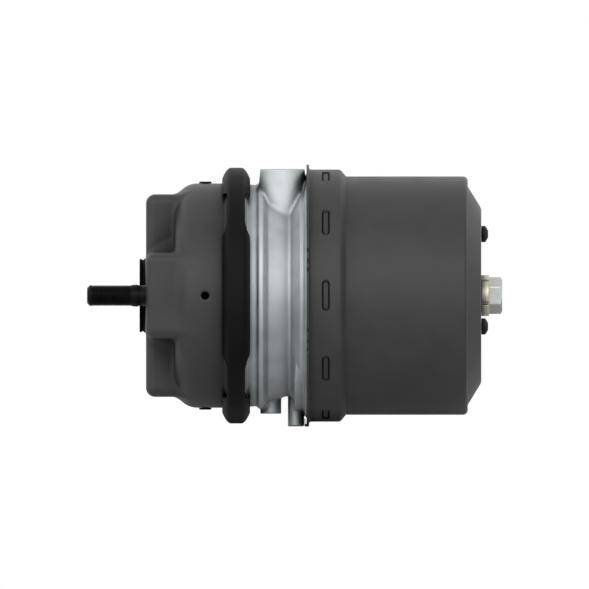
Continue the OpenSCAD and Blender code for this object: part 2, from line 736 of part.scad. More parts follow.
// A helical wire as one closed mesh round X, whose radius goes from r_a to r_b
module coil_spring(x_a, x_b, r_a, r_b, wire, turns, steps, sides) {
    rings = round(turns * steps);
    points = [
        for (i = [0:rings]) let (t = i / rings, a = 360 * turns * t, r = r_a + (r_b - r_a) * t)
            for (k = [0:sides - 1]) let (b = 360 * (k + 0.5) / sides, out = r + wire / 2 * cos(b))
                [helix_x(t, turns, x_a, x_b, wire) + wire / 2 * sin(b), out * sin(a), out * cos(a)]
    ];
    last = rings * sides;
    faces = concat(
        [[for (k = [0:sides - 1]) k]],
        [for (i = [0:rings - 1]) for (k = [0:sides - 1])
            let (a = i * sides + k, b = i * sides + (k + 1) % sides)
            each [[a, a + sides, b + sides], [a, b + sides, b]]],
        [[for (k = [sides - 1:-1:0]) last + k]]
    );
    polyhedron(points, faces);
}

// Conical return spring between the service housing and the push plate
module return_spring() color(steel)
    coil_spring(wall + gap, plate_x - seat, opening_r + 14, push_plate_d / 2 - 20, return_wire_d, 5, 28, 6);

// Heavy power spring between the piston and the rear end
module power_spring() color(spring_green)
    coil_spring(tube_end_x + seat, spring_end_x, power_mean_d / 2, power_mean_d / 2, power_wire_d,
        (power_spring_l - power_wire_d) / (closed_pitch * power_wire_d), 24, 8);

// Dished parking piston with a grooved skirt
module piston() color(cast_alu) difference() {
    turned(rounded([
        [0, piston_x], [seat_flat_r + 1, piston_x, 6], [skirt_r - 1.5, skirt_x, 2], [skirt_r, skirt_x + 1.5],
        [skirt_r, skirt_x + skirt_l, 0.8], [skirt_r - skirt_t, skirt_x + skirt_l, 0.8],
        [skirt_r - skirt_t, skirt_x + 3, 4], [seat_flat_r, tube_end_x, 3], [0, tube_end_x]
    ]));
    rod(piston_x - 1, far, tube_r + running);
    ring(seal_groove_x, seal_groove_w, far / 2, skirt_r - seal_groove_depth);
    ring(wear_groove_x, wear_groove_w, far / 2, skirt_r - wear_groove_depth);
}

// Steel tube that carries the piston and works through the casting
module piston_tube() color(steel)
    ring(tube_x, tube_end_x - tube_x, tube_r, tube_bore_r);

// Plug in the front end of the tube, which pushes on the diaphragm
module thrust_cap() color(steel)
    rod(tube_x, cap_t, tube_bore_r - running);

// Flanged collar in the rear end of the tube, which the release bolt pulls on
module tube_collar() color(steel) difference() {
    union() {
        rod(piston_x, piston_t, tube_bore_r - running);
        rod(tube_end_x, collar_flange_t, tube_r + collar_flange_reach);
    }
    rod(piston_x - 1, far, collar_bore_r);
}

// Rubber lip ring in the groove of the piston
module piston_seal() color(rubber) {
    inner = skirt_r - seal_groove_depth + seat;
    lip = spring_r - wall - 0.1;
    back_x = seal_groove_x + seal_groove_w;
    turned([
        [inner, seal_groove_x + seat], [skirt_r - 0.4, seal_groove_x + seat], [lip, back_x - seal_back_w],
        [lip, back_x - seat], [inner, back_x - seat]
    ]);
}

// Plastic ring that guides the piston in the housing
module wear_ring() color(black_plastic)
    ring(wear_groove_x + seat, wear_groove_w - 2 * seat, spring_r - wall - 0.08,
        skirt_r - wear_groove_depth + seat);

// Washer that slides in the tube and takes the pull of the release bolt
module thrust_washer() color(steel)
    ring(washer_x, washer_t, tube_bore_r - gap, journal_r + running);

// Release bolt, with its hexagon head outside and its plain journal inside the tube
module release_bolt() color(zinc) {
    shank_x = washer_x + washer_t + gap;
    along_x() translate([0, 0, head_x]) cylinder(h = release_head_h, r = release_af / sqrt(3), $fn = 6);
    rod(shank_x, head_x - shank_x, release_d / 2);
    rod(washer_x - 3 - gap, shank_x - washer_x + 3 + gap, journal_r);
}

// Nut on the end of the journal, behind the washer
module bolt_end_nut() color(steel)
    ring(washer_x - 3.2 - gap, 3, release_d / 2 + 2, journal_r + running);

service_housing();
mounting_studs();
mounting_seal();
boot_retainer();
drain_plugs();
clamp_band();
clamp_bolt();
clamp_nut();
centre_flange();
guide_bush();
bush_retainer();
rod_seals();
housing_seal();
spring_housing();
vent_caps();
release_nut();
lock_ring();
diaphragm();
pushrod_boot();
return_spring();
power_spring();
pushrod();
push_plate();
piston();
piston_tube();
thrust_cap();
tube_collar();
piston_seal();
wear_ring();
thrust_washer();
release_bolt();
bolt_end_nut();
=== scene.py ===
"""Looks of a combined service and parking brake actuator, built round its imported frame.

Lengths in this script are millimetres until a mesh is made, and X is the axis of the unit.
"""
import json
import math

import bpy
import numpy as np
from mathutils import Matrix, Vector

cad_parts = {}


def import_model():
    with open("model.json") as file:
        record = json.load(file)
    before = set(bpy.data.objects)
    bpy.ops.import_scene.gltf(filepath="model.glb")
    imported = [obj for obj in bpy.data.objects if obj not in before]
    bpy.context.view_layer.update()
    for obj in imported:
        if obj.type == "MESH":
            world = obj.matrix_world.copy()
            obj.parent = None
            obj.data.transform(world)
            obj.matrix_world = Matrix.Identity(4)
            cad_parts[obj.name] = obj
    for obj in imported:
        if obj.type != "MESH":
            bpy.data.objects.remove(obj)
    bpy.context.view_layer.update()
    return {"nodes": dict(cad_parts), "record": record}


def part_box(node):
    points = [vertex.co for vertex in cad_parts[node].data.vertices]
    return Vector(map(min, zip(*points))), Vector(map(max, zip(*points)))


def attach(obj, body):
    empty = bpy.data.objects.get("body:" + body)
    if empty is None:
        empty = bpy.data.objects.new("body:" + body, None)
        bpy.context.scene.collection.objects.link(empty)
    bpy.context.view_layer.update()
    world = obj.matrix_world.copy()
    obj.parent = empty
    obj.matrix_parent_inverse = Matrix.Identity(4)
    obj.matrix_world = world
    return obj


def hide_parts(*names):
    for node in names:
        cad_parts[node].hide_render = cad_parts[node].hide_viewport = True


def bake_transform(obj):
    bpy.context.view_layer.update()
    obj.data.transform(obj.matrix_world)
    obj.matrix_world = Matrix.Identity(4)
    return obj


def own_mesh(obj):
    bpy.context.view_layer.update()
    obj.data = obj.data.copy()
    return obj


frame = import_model()
MM = 0.001


def extent(node):
    """Lowest and highest corner of a node of the frame, in millimetres."""
    low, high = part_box(node)
    return np.array(low) / MM, np.array(high) / MM


# Places read from the frame

shell_low, shell_high = extent("service_housing")
clamp_low, clamp_high = extent("clamp_band")
cast_low, cast_high = extent("centre_flange")
rear_low, rear_high = extent("spring_housing")
seal_low, seal_high = extent("mounting_seal")
vent_low, vent_high = extent("vent_caps")
nut_low, nut_high = extent("release_nut")
lock_low, lock_high = extent("lock_ring")
bolt_low, bolt_high = extent("release_bolt")
plate_low, plate_high = extent("push_plate")
rod_low, rod_high = extent("pushrod")
diaphragm_low, diaphragm_high = extent("diaphragm")
stud_tip = extent("mounting_studs")[0][0]
clamp_bolt_tip = extent("clamp_bolt")[0][2]
washer_x = extent("thrust_washer")[1][0]

# Sizes that several pieces share. FAR lies past every piece.

SEAT = 0.05
WALL = 3.0
FAR = 200.0

# Service housing with its openings, studs and drain holes

SERVICE_R = 84.7
SERVICE_SHOULDER_R = 16.7
PAD_H = 22.0
PAD_REACH = 76.5
PAD_HALF = 32.5
PAD_EDGE_R = 7.0
OPENING_R = 22.0
SEAL_RECESS = 1.2
STUD_R = 8.0
STUD_Y = 60.325
STUD_PITCH = 1.5
DRAIN_X = 44.8
DRAIN_R = 3.0
DRAIN_CAP_R = 4.75

# Clamp band, and the two lips that it holds together

CLAMP_R = clamp_high[2]
CLAMP_X = (clamp_low[0] + clamp_high[0]) / 2
CLAMP_HALF = (clamp_high[0] - clamp_low[0]) / 2
CLAMP_T = 2.5
CROWN_HALF = 6.85
CORNER_W = 6.7
CORNER_DROP = 8.4
FLANK_CUT = 75.5
LIP_R = CLAMP_R - CLAMP_T - 0.3
LIP_HALF = 4.9
LIP_ROOT_R = SERVICE_R + 1.3
LIP_ROOT_HALF = CLAMP_HALF - CLAMP_T - 0.15
CLAMP_GAP = 8.0
LUG_T = 5.0
LUG_Y = CLAMP_R + CROWN_HALF + 4
LUG_BOLT_R = 4.0
LUG_BOLT_PITCH = 1.25
LUG_BOLT_THREAD = 18.0
LUG_HEX_R = 0.94 * 2 * LUG_BOLT_R * math.cos(math.pi / 6)

# Centre casting. A low boss is (x, radius, lowest z), and they start at the height LOW_BOSS_TOP.

WAIST_X = cast_low[0] + 22.6
WAIST_W = 16.7
WAIST_R = 75.5
WAIST_TAPER = 5.0
COLLAR_R = 83.8
RIDGE_R = 85.3
SHOULDER_X = cast_low[0] + 51.5
CAST_SHOULDER_R = 91.0
SPIGOT_R = 92.15
SPIGOT_GROOVE = 3.5
DISH_FLOOR_R = 64.0
DISH_MOUTH_R = 81.5
HUB_R = 34.0
POCKET_R = 60.0
REAR_DISH_R = 84.0
GUIDE_R = 20.4
LOW_PAD_TOP = -38.0
LOW_PAD_ANGLE = math.radians(18.4)
LOW_BOSS_TOP = -60.0
FRONT_LOW_BOSS = (WAIST_X + 2, 7.9, -89.2)
REAR_LOW_BOSS = (SHOULDER_X - 7.8, 6.2, -98.8)
PORT_X = 103.05
PORT_Y = 25.0
PORT_R = 7.25
PORT_PITCH = 1.5
PORT_DEPTH = 14.0
PORT_BOSS_R = 16.7
PORT_BOSS_FOOT = 50.0
PORT_DRAFT = 0.1
PASSAGE_R = 4.0
PASSAGE_Z = 64.0

# Spring housing and its rear end

MOUTH_R = 95.2
MOUTH_L = 25.6
STEP_L = 4.2
SPRING_R = 90.0
REAR_CONE = 10.2
REAR_END_R = 67.0
FLARE_T = 2.0
HOOK_REACH = 1.4
HOOK_T = 0.6
HOOK_HALF = 4.0
STAKE_FROM_LIP = 14.6
STAKE_COUNT = 10
STAKE_W = 6.2
STAKE_L = 23.6
STAKE_SINK = 1.2
STAKE_ZONE = 5.0
LIP_MARKS = [math.acos(z / rear_high[2]) for z in (34.4, 26.5, 19.3, -26.7, -35.6, -41.5)]
NUT_HOLE_R = 12.5
SLOT_COUNT = 5
SLOT_START = math.radians(41)
SLOT_DEPTH = 2.0
SLOT_HALF = 1.1
VENT_R = 46.5
VENT_CAP_R = 6.2
BOLT_R = 8.0
BOLT_PITCH = 2.0
BOLT_JOURNAL_R = 5.0
BOLT_FLAT_R = 12.0


# Distance fields. A field takes an array of points and gives a signed distance for each.

def unit(v):
    return v / np.linalg.norm(v)


def rounded(points, steps=8):
    """An outline with its corners rounded. Each point is (radius, x) or (radius, x, corner radius)."""
    flat = [np.array(p[:2], float) for p in points]
    out = []
    for i, p in enumerate(points):
        a, b, c = flat[i - 1], flat[i], flat[(i + 1) % len(flat)]
        r = p[2] if len(p) > 2 else 0
        u, v = unit(a - b), unit(c - b)
        half = math.acos(max(-1.0, min(1.0, float(u @ v)))) / 2
        straight = half > 1.56
        if r <= 0 or straight:
            out.append(b)
            continue
        reach = min(r / math.tan(half), 0.49 * np.linalg.norm(a - b), 0.49 * np.linalg.norm(c - b))
        radius = reach * math.tan(half)
        centre = b + unit(u + v) * radius / math.sin(half)
        start, end = b + u * reach - centre, b + v * reach - centre
        first = math.atan2(start[1], start[0])
        swing = math.atan2(start[0] * end[1] - start[1] * end[0], float(start @ end))
        count = max(2, int(steps * abs(swing) / 1.57 + 1.5))
        for k in range(count + 1):
            t = first + swing * k / count
            out.append(centre + radius * np.array([math.cos(t), math.sin(t)]))
    return np.array(out)


def outline_distance(outline, q):
    """Signed distance of points q from a closed outline, negative inside."""
    best = np.full(len(q), 1e9)
    inside = np.zeros(len(q), bool)
    for a, b in zip(outline, np.roll(outline, -1, 0)):
        d = b - a
        length = d @ d
        if length < 1e-12:
            continue
        t = np.clip(((q - a) @ d) / length, 0, 1)
        best = np.minimum(best, ((q - a - t[:, None] * d) ** 2).sum(1))
        crosses = (a[1] > q[:, 1]) != (b[1] > q[:, 1])
        if a[1] != b[1]:
            at = a[0] + (q[:, 1] - a[1]) * (b[0] - a[0]) / (b[1] - a[1])
            inside ^= crosses & (q[:, 0] < at)
    best = np.sqrt(best)
    return np.where(inside, -best, best)


def turned_field(points, steps=10):
    """Field of a solid of revolution round X, from an outline of (radius, x, corner radius)."""
    outline = rounded(points, steps)
    return lambda p: outline_distance(outline, np.stack([np.hypot(p[:, 1], p[:, 2]), p[:, 0]], 1))


def tabled(points, low, high, step=0.25):
    """The same as turned_field, read from a table, which is quicker on many points."""
    field = turned_field(points)
    r = np.arange(0, high[1] + 12, step)
    x = np.arange(low[0] - 12, high[0] + 12, step)
    grid = np.stack(np.meshgrid(r, x, indexing="ij"), -1).reshape(-1, 2)
    table = field(np.stack([grid[:, 1], grid[:, 0], 0 * grid[:, 0]], 1)).reshape(len(r), len(x))

    def read(p):
        u = np.clip(np.hypot(p[:, 1], p[:, 2]) / step, 0, len(r) - 1.001)
        v = np.clip((p[:, 0] - x[0]) / step, 0, len(x) - 1.001)
        i, j = u.astype(int), v.astype(int)
        s, t = u - i, v - j
        near = table[i, j] * (1 - s) + table[i + 1, j] * s
        away = table[i, j + 1] * (1 - s) + table[i + 1, j + 1] * s
        return near * (1 - t) + away * t

    return read


def round_box(p, centre, half, r):
    """A box with rounded edges, from its centre and half its sizes."""
    q = np.abs(p - centre) - (np.array(half) - r)
    return np.linalg.norm(np.maximum(q, 0), axis=1) + np.minimum(q.max(1), 0) - r


def axial_rod(p, y, z, r, x0, x1):
    """A rod along X."""
    return np.maximum(np.hypot(p[:, 1] - y, p[:, 2] - z) - r, np.maximum(x0 - p[:, 0], p[:, 0] - x1))


def upright_rod(p, x, y, r, z0, z1, draft=0.0, edge=0.0):
    """A rod along Z, whose radius grows downwards by draft for each millimetre."""
    side = np.hypot(p[:, 0] - x, p[:, 1] - y) - r - draft * (z1 - p[:, 2]) + edge
    ends = np.maximum(z0 - p[:, 2], p[:, 2] - z1) + edge
    out = np.hypot(np.maximum(side, 0), np.maximum(ends, 0))
    return out + np.minimum(np.maximum(side, ends), 0) - edge


def join(a, b, r=0.0):
    """Union of two fields with a fillet of radius r."""
    if np.all(r <= 0):
        return np.minimum(a, b)
    u, v = np.maximum(r - a, 0), np.maximum(r - b, 0)
    return np.maximum(r, np.minimum(a, b)) - np.hypot(u, v)


def cut(a, b, r=0.0):
    """Field a less field b, with an edge rounded to radius r."""
    return -join(-a, b, r)


CUBE = np.array([[i, j, k] for i in (0, 1) for j in (0, 1) for k in (0, 1)])


def surface(name, field, low, high, cell, levels=4, near=1.4, pulls=3):
    """A closed mesh of a field's zero surface, by surface nets.

    The grid starts coarse and halves its cells levels times, each time keeping those whose middle
    is nearer to the surface than near times their size. Then the points are pulled onto the
    surface, a few times.
    """
    low, high = np.array(low, float) - cell, np.array(high, float) + cell
    coarse = cell * 2 ** levels
    count = np.ceil((high - low) / coarse).astype(int)
    cells = np.stack(np.meshgrid(*[np.arange(n) for n in count], indexing="ij"), -1).reshape(-1, 3)
    size = coarse
    for level in range(levels + 1):
        middle = low + (cells + 0.5) * size
        cells = cells[np.abs(field(middle)) < size * near]
        if level < levels:
            cells = (cells[:, None, :] * 2 + CUBE).reshape(-1, 3)
            size /= 2
    span = np.array(count * 2 ** levels + 2)

    def key(c):
        return (c[:, 0] * span[1] + c[:, 1]) * span[2] + c[:, 2]

    around = (cells[:, None, :] + CUBE).reshape(-1, 3)
    first, back = np.unique(key(around), return_index=True, return_inverse=True)[1:]
    value = field(low + around[first] * cell)
    value = np.where(value == 0, 1e-9, value)
    at = value[back].reshape(-1, 8)
    mixed = (at < 0).any(1) & (at > 0).any(1)
    cells, at = cells[mixed], at[mixed]
    total, hits = np.zeros((len(cells), 3)), np.zeros(len(cells))
    for a in range(8):
        for b in range(a + 1, 8):
            if np.abs(CUBE[a] - CUBE[b]).sum() != 1:
                continue
            crossed = (at[:, a] < 0) != (at[:, b] < 0)
            t = at[:, a] / np.where(crossed, at[:, a] - at[:, b], 1)
            total += np.where(crossed[:, None], CUBE[a] + t[:, None] * (CUBE[b] - CUBE[a]), 0)
            hits += crossed
    places = low + (cells + total / hits[:, None]) * cell
    step = 0.05
    for _ in range(pulls):
        grad = np.stack([
            (field(places + step * e) - field(places - step * e)) / (2 * step) for e in np.eye(3)
        ], 1)
        move = (field(places) / np.maximum((grad ** 2).sum(1), 0.25))[:, None] * grad
        reach = np.linalg.norm(move, axis=1, keepdims=True)
        places = places - move * np.minimum(1, 0.5 * cell / np.maximum(reach, 1e-9))
    order = np.argsort(key(cells))
    sorted_keys = key(cells)[order]

    def number(c):
        found = np.searchsorted(sorted_keys, key(c))
        found = np.minimum(found, len(sorted_keys) - 1)
        return np.where(sorted_keys[found] == key(c), order[found], -1)

    faces = []
    for axis in range(3):
        b, c = np.eye(3, dtype=int)[(axis + 1) % 3], np.eye(3, dtype=int)[(axis + 2) % 3]
        other = {0: 4, 1: 2, 2: 1}[axis]
        crossed = (at[:, 0] < 0) != (at[:, other] < 0)
        base = cells[crossed]
        four = np.stack([number(base), number(base - b), number(base - b - c), number(base - c)], 1)
        outward = at[crossed, 0] < 0
        four[~outward] = four[~outward][:, ::-1]
        faces.append(four[(four >= 0).all(1)])
    return mesh_object(name, places, np.concatenate(faces))


def mesh_object(name, points, faces, smooth=True):
    """A mesh object from points in millimetres and a list or array of faces."""
    mesh = bpy.data.meshes.new(name)
    mesh.from_pydata((np.asarray(points) * MM).tolist(), [], [list(map(int, f)) for f in faces])
    mesh.validate()
    mesh.polygons.foreach_set("use_smooth", [smooth] * len(mesh.polygons))
    mesh.update()
    piece = bpy.data.objects.new(name, mesh)
    bpy.context.scene.collection.objects.link(piece)
    return piece


def lathe(name, outline, around=360, shift=None, centre=(0, 0, 0), aim=(1, 0, 0)):
    """A closed solid of revolution round X from a closed outline of (radius, x) points.

    shift(radius, x, angle) may give new radii and x places, for threads and pressed marks. The
    solid can then be turned from X to the direction aim and moved to centre.
    """
    outline = np.asarray(outline, float)
    on_axis = outline[:, 0] < 1e-6
    angle = np.arange(around) * 2 * math.pi / around
    points, index = [], []
    for i, (r, x) in enumerate(outline):
        if on_axis[i]:
            index.append([len(points)] * around)
            points.append([x, 0, 0])
            continue
        index.append(list(range(len(points), len(points) + around)))
        radii, xs = np.full(around, r), np.full(around, x)
        if shift:
            radii, xs = shift(radii, xs, angle)
        points += np.stack([xs, -radii * np.sin(angle), radii * np.cos(angle)], 1).tolist()
    faces = []
    for i in range(len(outline)):
        j = (i + 1) % len(outline)
        if on_axis[i] and on_axis[j]:
            continue
        for k in range(around):
            n = (k + 1) % around
            face = [index[i][k], index[j][k], index[j][n], index[i][n]]
            faces.append([f for m, f in enumerate(face) if f not in face[:m]])
    turn = np.array(Vector((1, 0, 0)).rotation_difference(Vector(aim)).to_matrix())
    return mesh_object(name, np.array(points) @ turn.T + centre, faces)


def tube(name, path, radius, sides):
    """A round wire with flat ends along a path of points."""
    path = np.asarray(path, float)
    ahead = np.gradient(path, axis=0)
    ahead /= np.linalg.norm(ahead, axis=1, keepdims=True)
    side = np.cross(ahead, [1, 0, 0])
    side /= np.linalg.norm(side, axis=1, keepdims=True)
    up = np.cross(side, ahead)
    points, faces = [], []
    for p, s, u in zip(path, side, up):
        for k in range(sides):
            t = 2 * math.pi * k / sides
            points.append(p + radius * (math.cos(t) * s + math.sin(t) * u))
    for i in range(len(path) - 1):
        for k in range(sides):
            n = (k + 1) % sides
            faces.append([i * sides + k, i * sides + n, (i + 1) * sides + n, (i + 1) * sides + k])
    last = (len(path) - 1) * sides
    faces.append(list(range(sides))[::-1])
    faces.append(list(range(last, last + sides)))
    return mesh_object(name, points, faces)


# Materials

def nodes_of(name, color, metallic, roughness):
    """A material with its node tree and its shader."""
    made = bpy.data.materials.new(name)
    made.use_nodes = True
    tree = made.node_tree
    shader = tree.nodes["Principled BSDF"]
    shader.inputs["Base Color"].default_value = (*color, 1)
    shader.inputs["Metallic"].default_value = metallic
    shader.inputs["Roughness"].default_value = roughness
    made.diffuse_color = (*color, 1)
    return made, tree, shader


def noise(tree, size_mm, detail):
    """Noise in the object's own frame, with blotches of about size_mm."""
    place = tree.nodes.new("ShaderNodeTexCoord")
    texture = tree.nodes.new("ShaderNodeTexNoise")
    texture.inputs["Scale"].default_value = 1 / (size_mm * MM)
    texture.inputs["Detail"].default_value = detail
    tree.links.new(place.outputs["Object"], texture.inputs["Vector"])
    return texture.outputs["Fac"]


def ramp(tree, factor, low, high):
    """A colour between two stops, each of which is (place, colour)."""
    node = tree.nodes.new("ShaderNodeValToRGB")
    for element, (place, color) in zip(node.color_ramp.elements, (low, high)):
        element.position = place
        element.color = (*color, 1)
    tree.links.new(factor, node.inputs["Fac"])
    return node.outputs["Color"]


def spread(tree, noise_value, low, high):
    """Spreads the usual range of a noise, 0.3 to 0.7, over low to high."""
    node = tree.nodes.new("ShaderNodeMapRange")
    node.inputs["From Min"].default_value = 0.3
    node.inputs["From Max"].default_value = 0.7
    node.inputs["To Min"].default_value = low
    node.inputs["To Max"].default_value = high
    tree.links.new(noise_value, node.inputs["Value"])
    return node.outputs["Result"]


def bump(tree, shader, height, distance_mm):
    """Relief on a shader, half as strong as its height says."""
    node = tree.nodes.new("ShaderNodeBump")
    node.inputs["Strength"].default_value = 0.5
    node.inputs["Distance"].default_value = distance_mm * MM
    tree.links.new(height, node.inputs["Height"])
    tree.links.new(node.outputs["Normal"], shader.inputs["Normal"])


def mottled(name, dark, light, metallic, rough, grain_mm, bump_mm, blotch_mm=25, gloss=0.5, painted_shade_mm=0):
    """A surface with blotches of tone, a fine grain in relief and uneven gloss. Painted shade makes its
    hollows darker and less glossy, out to the distance given last, in millimetres."""
    middle = tuple((a + b) / 2 for a, b in zip(dark, light))
    made, tree, shader = nodes_of(name, middle, metallic, sum(rough) / 2)
    shader.inputs["Specular IOR Level"].default_value = gloss
    blotch = noise(tree, blotch_mm, 5)
    grain = noise(tree, grain_mm, 3)
    tone = ramp(tree, blotch, (0.35, dark), (0.65, light))
    # Painted shade: ambient occlusion darkens the colour and lowers the gloss in hollows and between parts.
    if painted_shade_mm:
        shade_occlusion = tree.nodes.new("ShaderNodeAmbientOcclusion")
        shade_occlusion.samples = 8
        shade_occlusion.inputs["Distance"].default_value = painted_shade_mm * MM
        shaded_tone = tree.nodes.new("ShaderNodeVectorMath")
        shaded_tone.operation = "SCALE"
        tree.links.new(tone, shaded_tone.inputs[0])
        tree.links.new(shade_occlusion.outputs["AO"], shaded_tone.inputs["Scale"])
        tone = shaded_tone.outputs[0]
        shaded_gloss = tree.nodes.new("ShaderNodeMapRange")
        shaded_gloss.inputs["From Min"].default_value = 0.2
        shaded_gloss.inputs["To Max"].default_value = gloss
        tree.links.new(shade_occlusion.outputs["AO"], shaded_gloss.inputs["Value"])
        tree.links.new(shaded_gloss.outputs["Result"], shader.inputs["Specular IOR Level"])
    tree.links.new(tone, shader.inputs["Base Color"])
    tree.links.new(spread(tree, blotch, *rough), shader.inputs["Roughness"])
    bump(tree, shader, grain, bump_mm)
    return made


# The e-coat, clamp, casting and zinc below get painted shade in their hollows, over the distance in
# millimetres given last.
E_COAT = mottled(
    "e_coat", (0.038, 0.038, 0.039), (0.046, 0.046, 0.047), metallic=0.0, rough=(0.40, 0.50),
    grain_mm=0.9, bump_mm=0.03, gloss=0.33, painted_shade_mm=20
)
CLAMP = mottled(
    "clamp_black", (0.004, 0.004, 0.0042), (0.006, 0.006, 0.0062), metallic=0.0, rough=(0.45, 0.55),
    grain_mm=0.9, bump_mm=0.03, gloss=0.09, painted_shade_mm=15
)
CAST = mottled(
    "cast_alu", (0.45, 0.48, 0.495), (0.54, 0.57, 0.585), metallic=1.0, rough=(0.5, 0.58),
    grain_mm=0.8, bump_mm=0.06, blotch_mm=18, painted_shade_mm=10
)
RUBBER = mottled(
    "rubber", (0.0015, 0.0015, 0.0015), (0.003, 0.003, 0.003), metallic=0.0, rough=(0.6, 0.75),
    grain_mm=0.6, bump_mm=0.05, gloss=0.05
)
PLASTIC = mottled(
    "black_plastic", (0.004, 0.004, 0.0045), (0.008, 0.008, 0.009), metallic=0.0, rough=(0.4, 0.5),
    grain_mm=0.5, bump_mm=0.03, blotch_mm=8, gloss=0.2
)
HEX_STEEL = mottled(
    "hex_zinc", (0.44, 0.46, 0.44), (0.54, 0.56, 0.54), metallic=1.0, rough=(0.25, 0.38),
    grain_mm=0.6, bump_mm=0.03, blotch_mm=6
)
ZINC = mottled(
    "zinc", (0.50, 0.47, 0.36), (0.66, 0.63, 0.52), metallic=1.0, rough=(0.28, 0.42),
    grain_mm=0.6, bump_mm=0.03, blotch_mm=6, painted_shade_mm=5
)
STEEL = mottled(
    "steel", (0.36, 0.36, 0.37), (0.45, 0.45, 0.46), metallic=1.0, rough=(0.3, 0.42),
    grain_mm=0.6, bump_mm=0.03, blotch_mm=8
)
STUD = mottled(
    "stud_steel", (0.002, 0.002, 0.0021), (0.004, 0.004, 0.0042), metallic=0.0, rough=(0.3, 0.4),
    grain_mm=0.5, bump_mm=0.03, blotch_mm=5, gloss=0.1
)
PAINT = mottled(
    "spring_paint", (0.05, 0.10, 0.075), (0.07, 0.13, 0.095), metallic=0.0, rough=(0.35, 0.5),
    grain_mm=0.8, bump_mm=0.04
)
BRONZE = mottled(
    "bronze", (0.30, 0.19, 0.07), (0.40, 0.26, 0.10), metallic=1.0, rough=(0.35, 0.5),
    grain_mm=0.5, bump_mm=0.03
)
SLOT_LOOKS = {
    "e_coat": E_COAT, "clamp_black": CLAMP, "cast_alu": CAST, "rubber": RUBBER,
    "black_plastic": PLASTIC, "zinc": ZINC, "steel": STEEL, "stud_steel": STUD,
    "spring_paint": PAINT, "bronze": BRONZE,
}
SLOTS = {s["node"]: s["material_slot"] for s in frame["record"]["subparts"]}


def dress(piece, look, body="housing", nodes=(), ride=True):
    """Gives a piece its material, its body and the nodes that it stands for."""
    piece.data.materials.clear()
    piece.data.materials.append(look)
    if ride:
        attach(piece, body)
    if nodes:
        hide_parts(*nodes)
    return piece


for node_name, node_object in frame["nodes"].items():
    node_object.data.materials.clear()
    node_object.data.materials.append(SLOT_LOOKS[SLOTS[node_name]])


# Service housing

def service_housing():
    depth = shell_high[0]
    lip_front = CLAMP_X - LIP_ROOT_HALF
    past_axis = -40
    through = (-10, 20)
    drum = tabled([
        (past_axis, PAD_H), (SERVICE_R, PAD_H, SERVICE_SHOULDER_R), (SERVICE_R, depth + FAR),
        (past_axis, depth + FAR)
    ], shell_low, shell_high)
    lip = tabled([
        (SERVICE_R - WALL, lip_front - 3), (SERVICE_R, lip_front - 3), (SERVICE_R, lip_front, 0.8),
        (LIP_ROOT_R, lip_front, 0.5), (LIP_R, CLAMP_X - LIP_HALF, 1), (LIP_R, depth),
        (LIP_ROOT_R, depth), (SERVICE_R - WALL, lip_front + 2, 2)
    ], shell_low, shell_high)

    def body(p):
        """The drum with the cross of the mounting pad. The lobes' inner corners widen with depth."""
        half_depth = 60.0
        upright = round_box(p, (half_depth, 0, 0), (half_depth, PAD_HALF, PAD_REACH), PAD_EDGE_R)
        level = round_box(p, (half_depth, 0, 0), (half_depth, PAD_REACH, PAD_HALF), PAD_EDGE_R)
        cross = join(upright, level, 2 + 0.6 * np.clip(p[:, 0], 0, 24))
        hidden_end = p[:, 0] - PAD_H - SERVICE_SHOULDER_R
        return join(np.maximum(cross, hidden_end), drum(p), 4)

    def field(p):
        solid = body(p)
        shell = np.maximum(np.maximum(solid, -(solid + WALL)), p[:, 0] - depth)
        shell = join(shell, lip(p))
        shell = cut(shell, axial_rod(p, 0, 0, OPENING_R, *through), 0.4)
        shell = cut(shell, axial_rod(p, 0, 0, seal_high[1] + SEAT, through[0], SEAL_RECESS))
        for y in (-STUD_Y, STUD_Y):
            shell = cut(shell, axial_rod(p, y, 0, STUD_R + 0.45, *through))
        turned = p[:, [0, 2, 1]]
        for q in (p, turned):
            shell = cut(shell, upright_rod(q, DRAIN_X, 0, DRAIN_R, -FAR, FAR), 0.4)
        return shell

    piece = surface("service_housing_skin", field, shell_low, shell_high, 1.0)
    dress(piece, E_COAT, nodes=["service_housing"])


# Centre casting

def flange_outline():
    """Front lip, collar with a groove, ridge, tapered waist, slope, shoulder and spigot."""
    lip_end = CLAMP_X + LIP_ROOT_HALF
    slope_x = WAIST_X + WAIST_W
    spigot_x = cast_high[0]
    return [
        (0, cast_low[0]), (LIP_R, cast_low[0]), (LIP_R, CLAMP_X + LIP_HALF, 1),
        (LIP_ROOT_R, lip_end, 0.5), (COLLAR_R, lip_end, 0.5),
        (COLLAR_R, WAIST_X - 11, 1), (COLLAR_R - 0.4, WAIST_X - 10, 0.8), (COLLAR_R, WAIST_X - 9, 1),
        (COLLAR_R, WAIST_X - 8.6, 0.8), (RIDGE_R, WAIST_X - 6.9, 1), (RIDGE_R, WAIST_X - 4, 1.8),
        (WAIST_R + WAIST_TAPER, WAIST_X, 1.2), (WAIST_R, slope_x - 1.2, 2),
        (WAIST_R + 0.6, slope_x + 0.3, 1), (COLLAR_R + 2, SHOULDER_X - 4.6, 2),
        (COLLAR_R + 2.3, SHOULDER_X - 2, 1.2), (CAST_SHOULDER_R, SHOULDER_X - 1, 0.8),
        (CAST_SHOULDER_R + 1.5, SHOULDER_X), (SPIGOT_R, SHOULDER_X), (SPIGOT_R, spigot_x - 1),
        (SPIGOT_R - 1, spigot_x), (0, spigot_x)
    ]


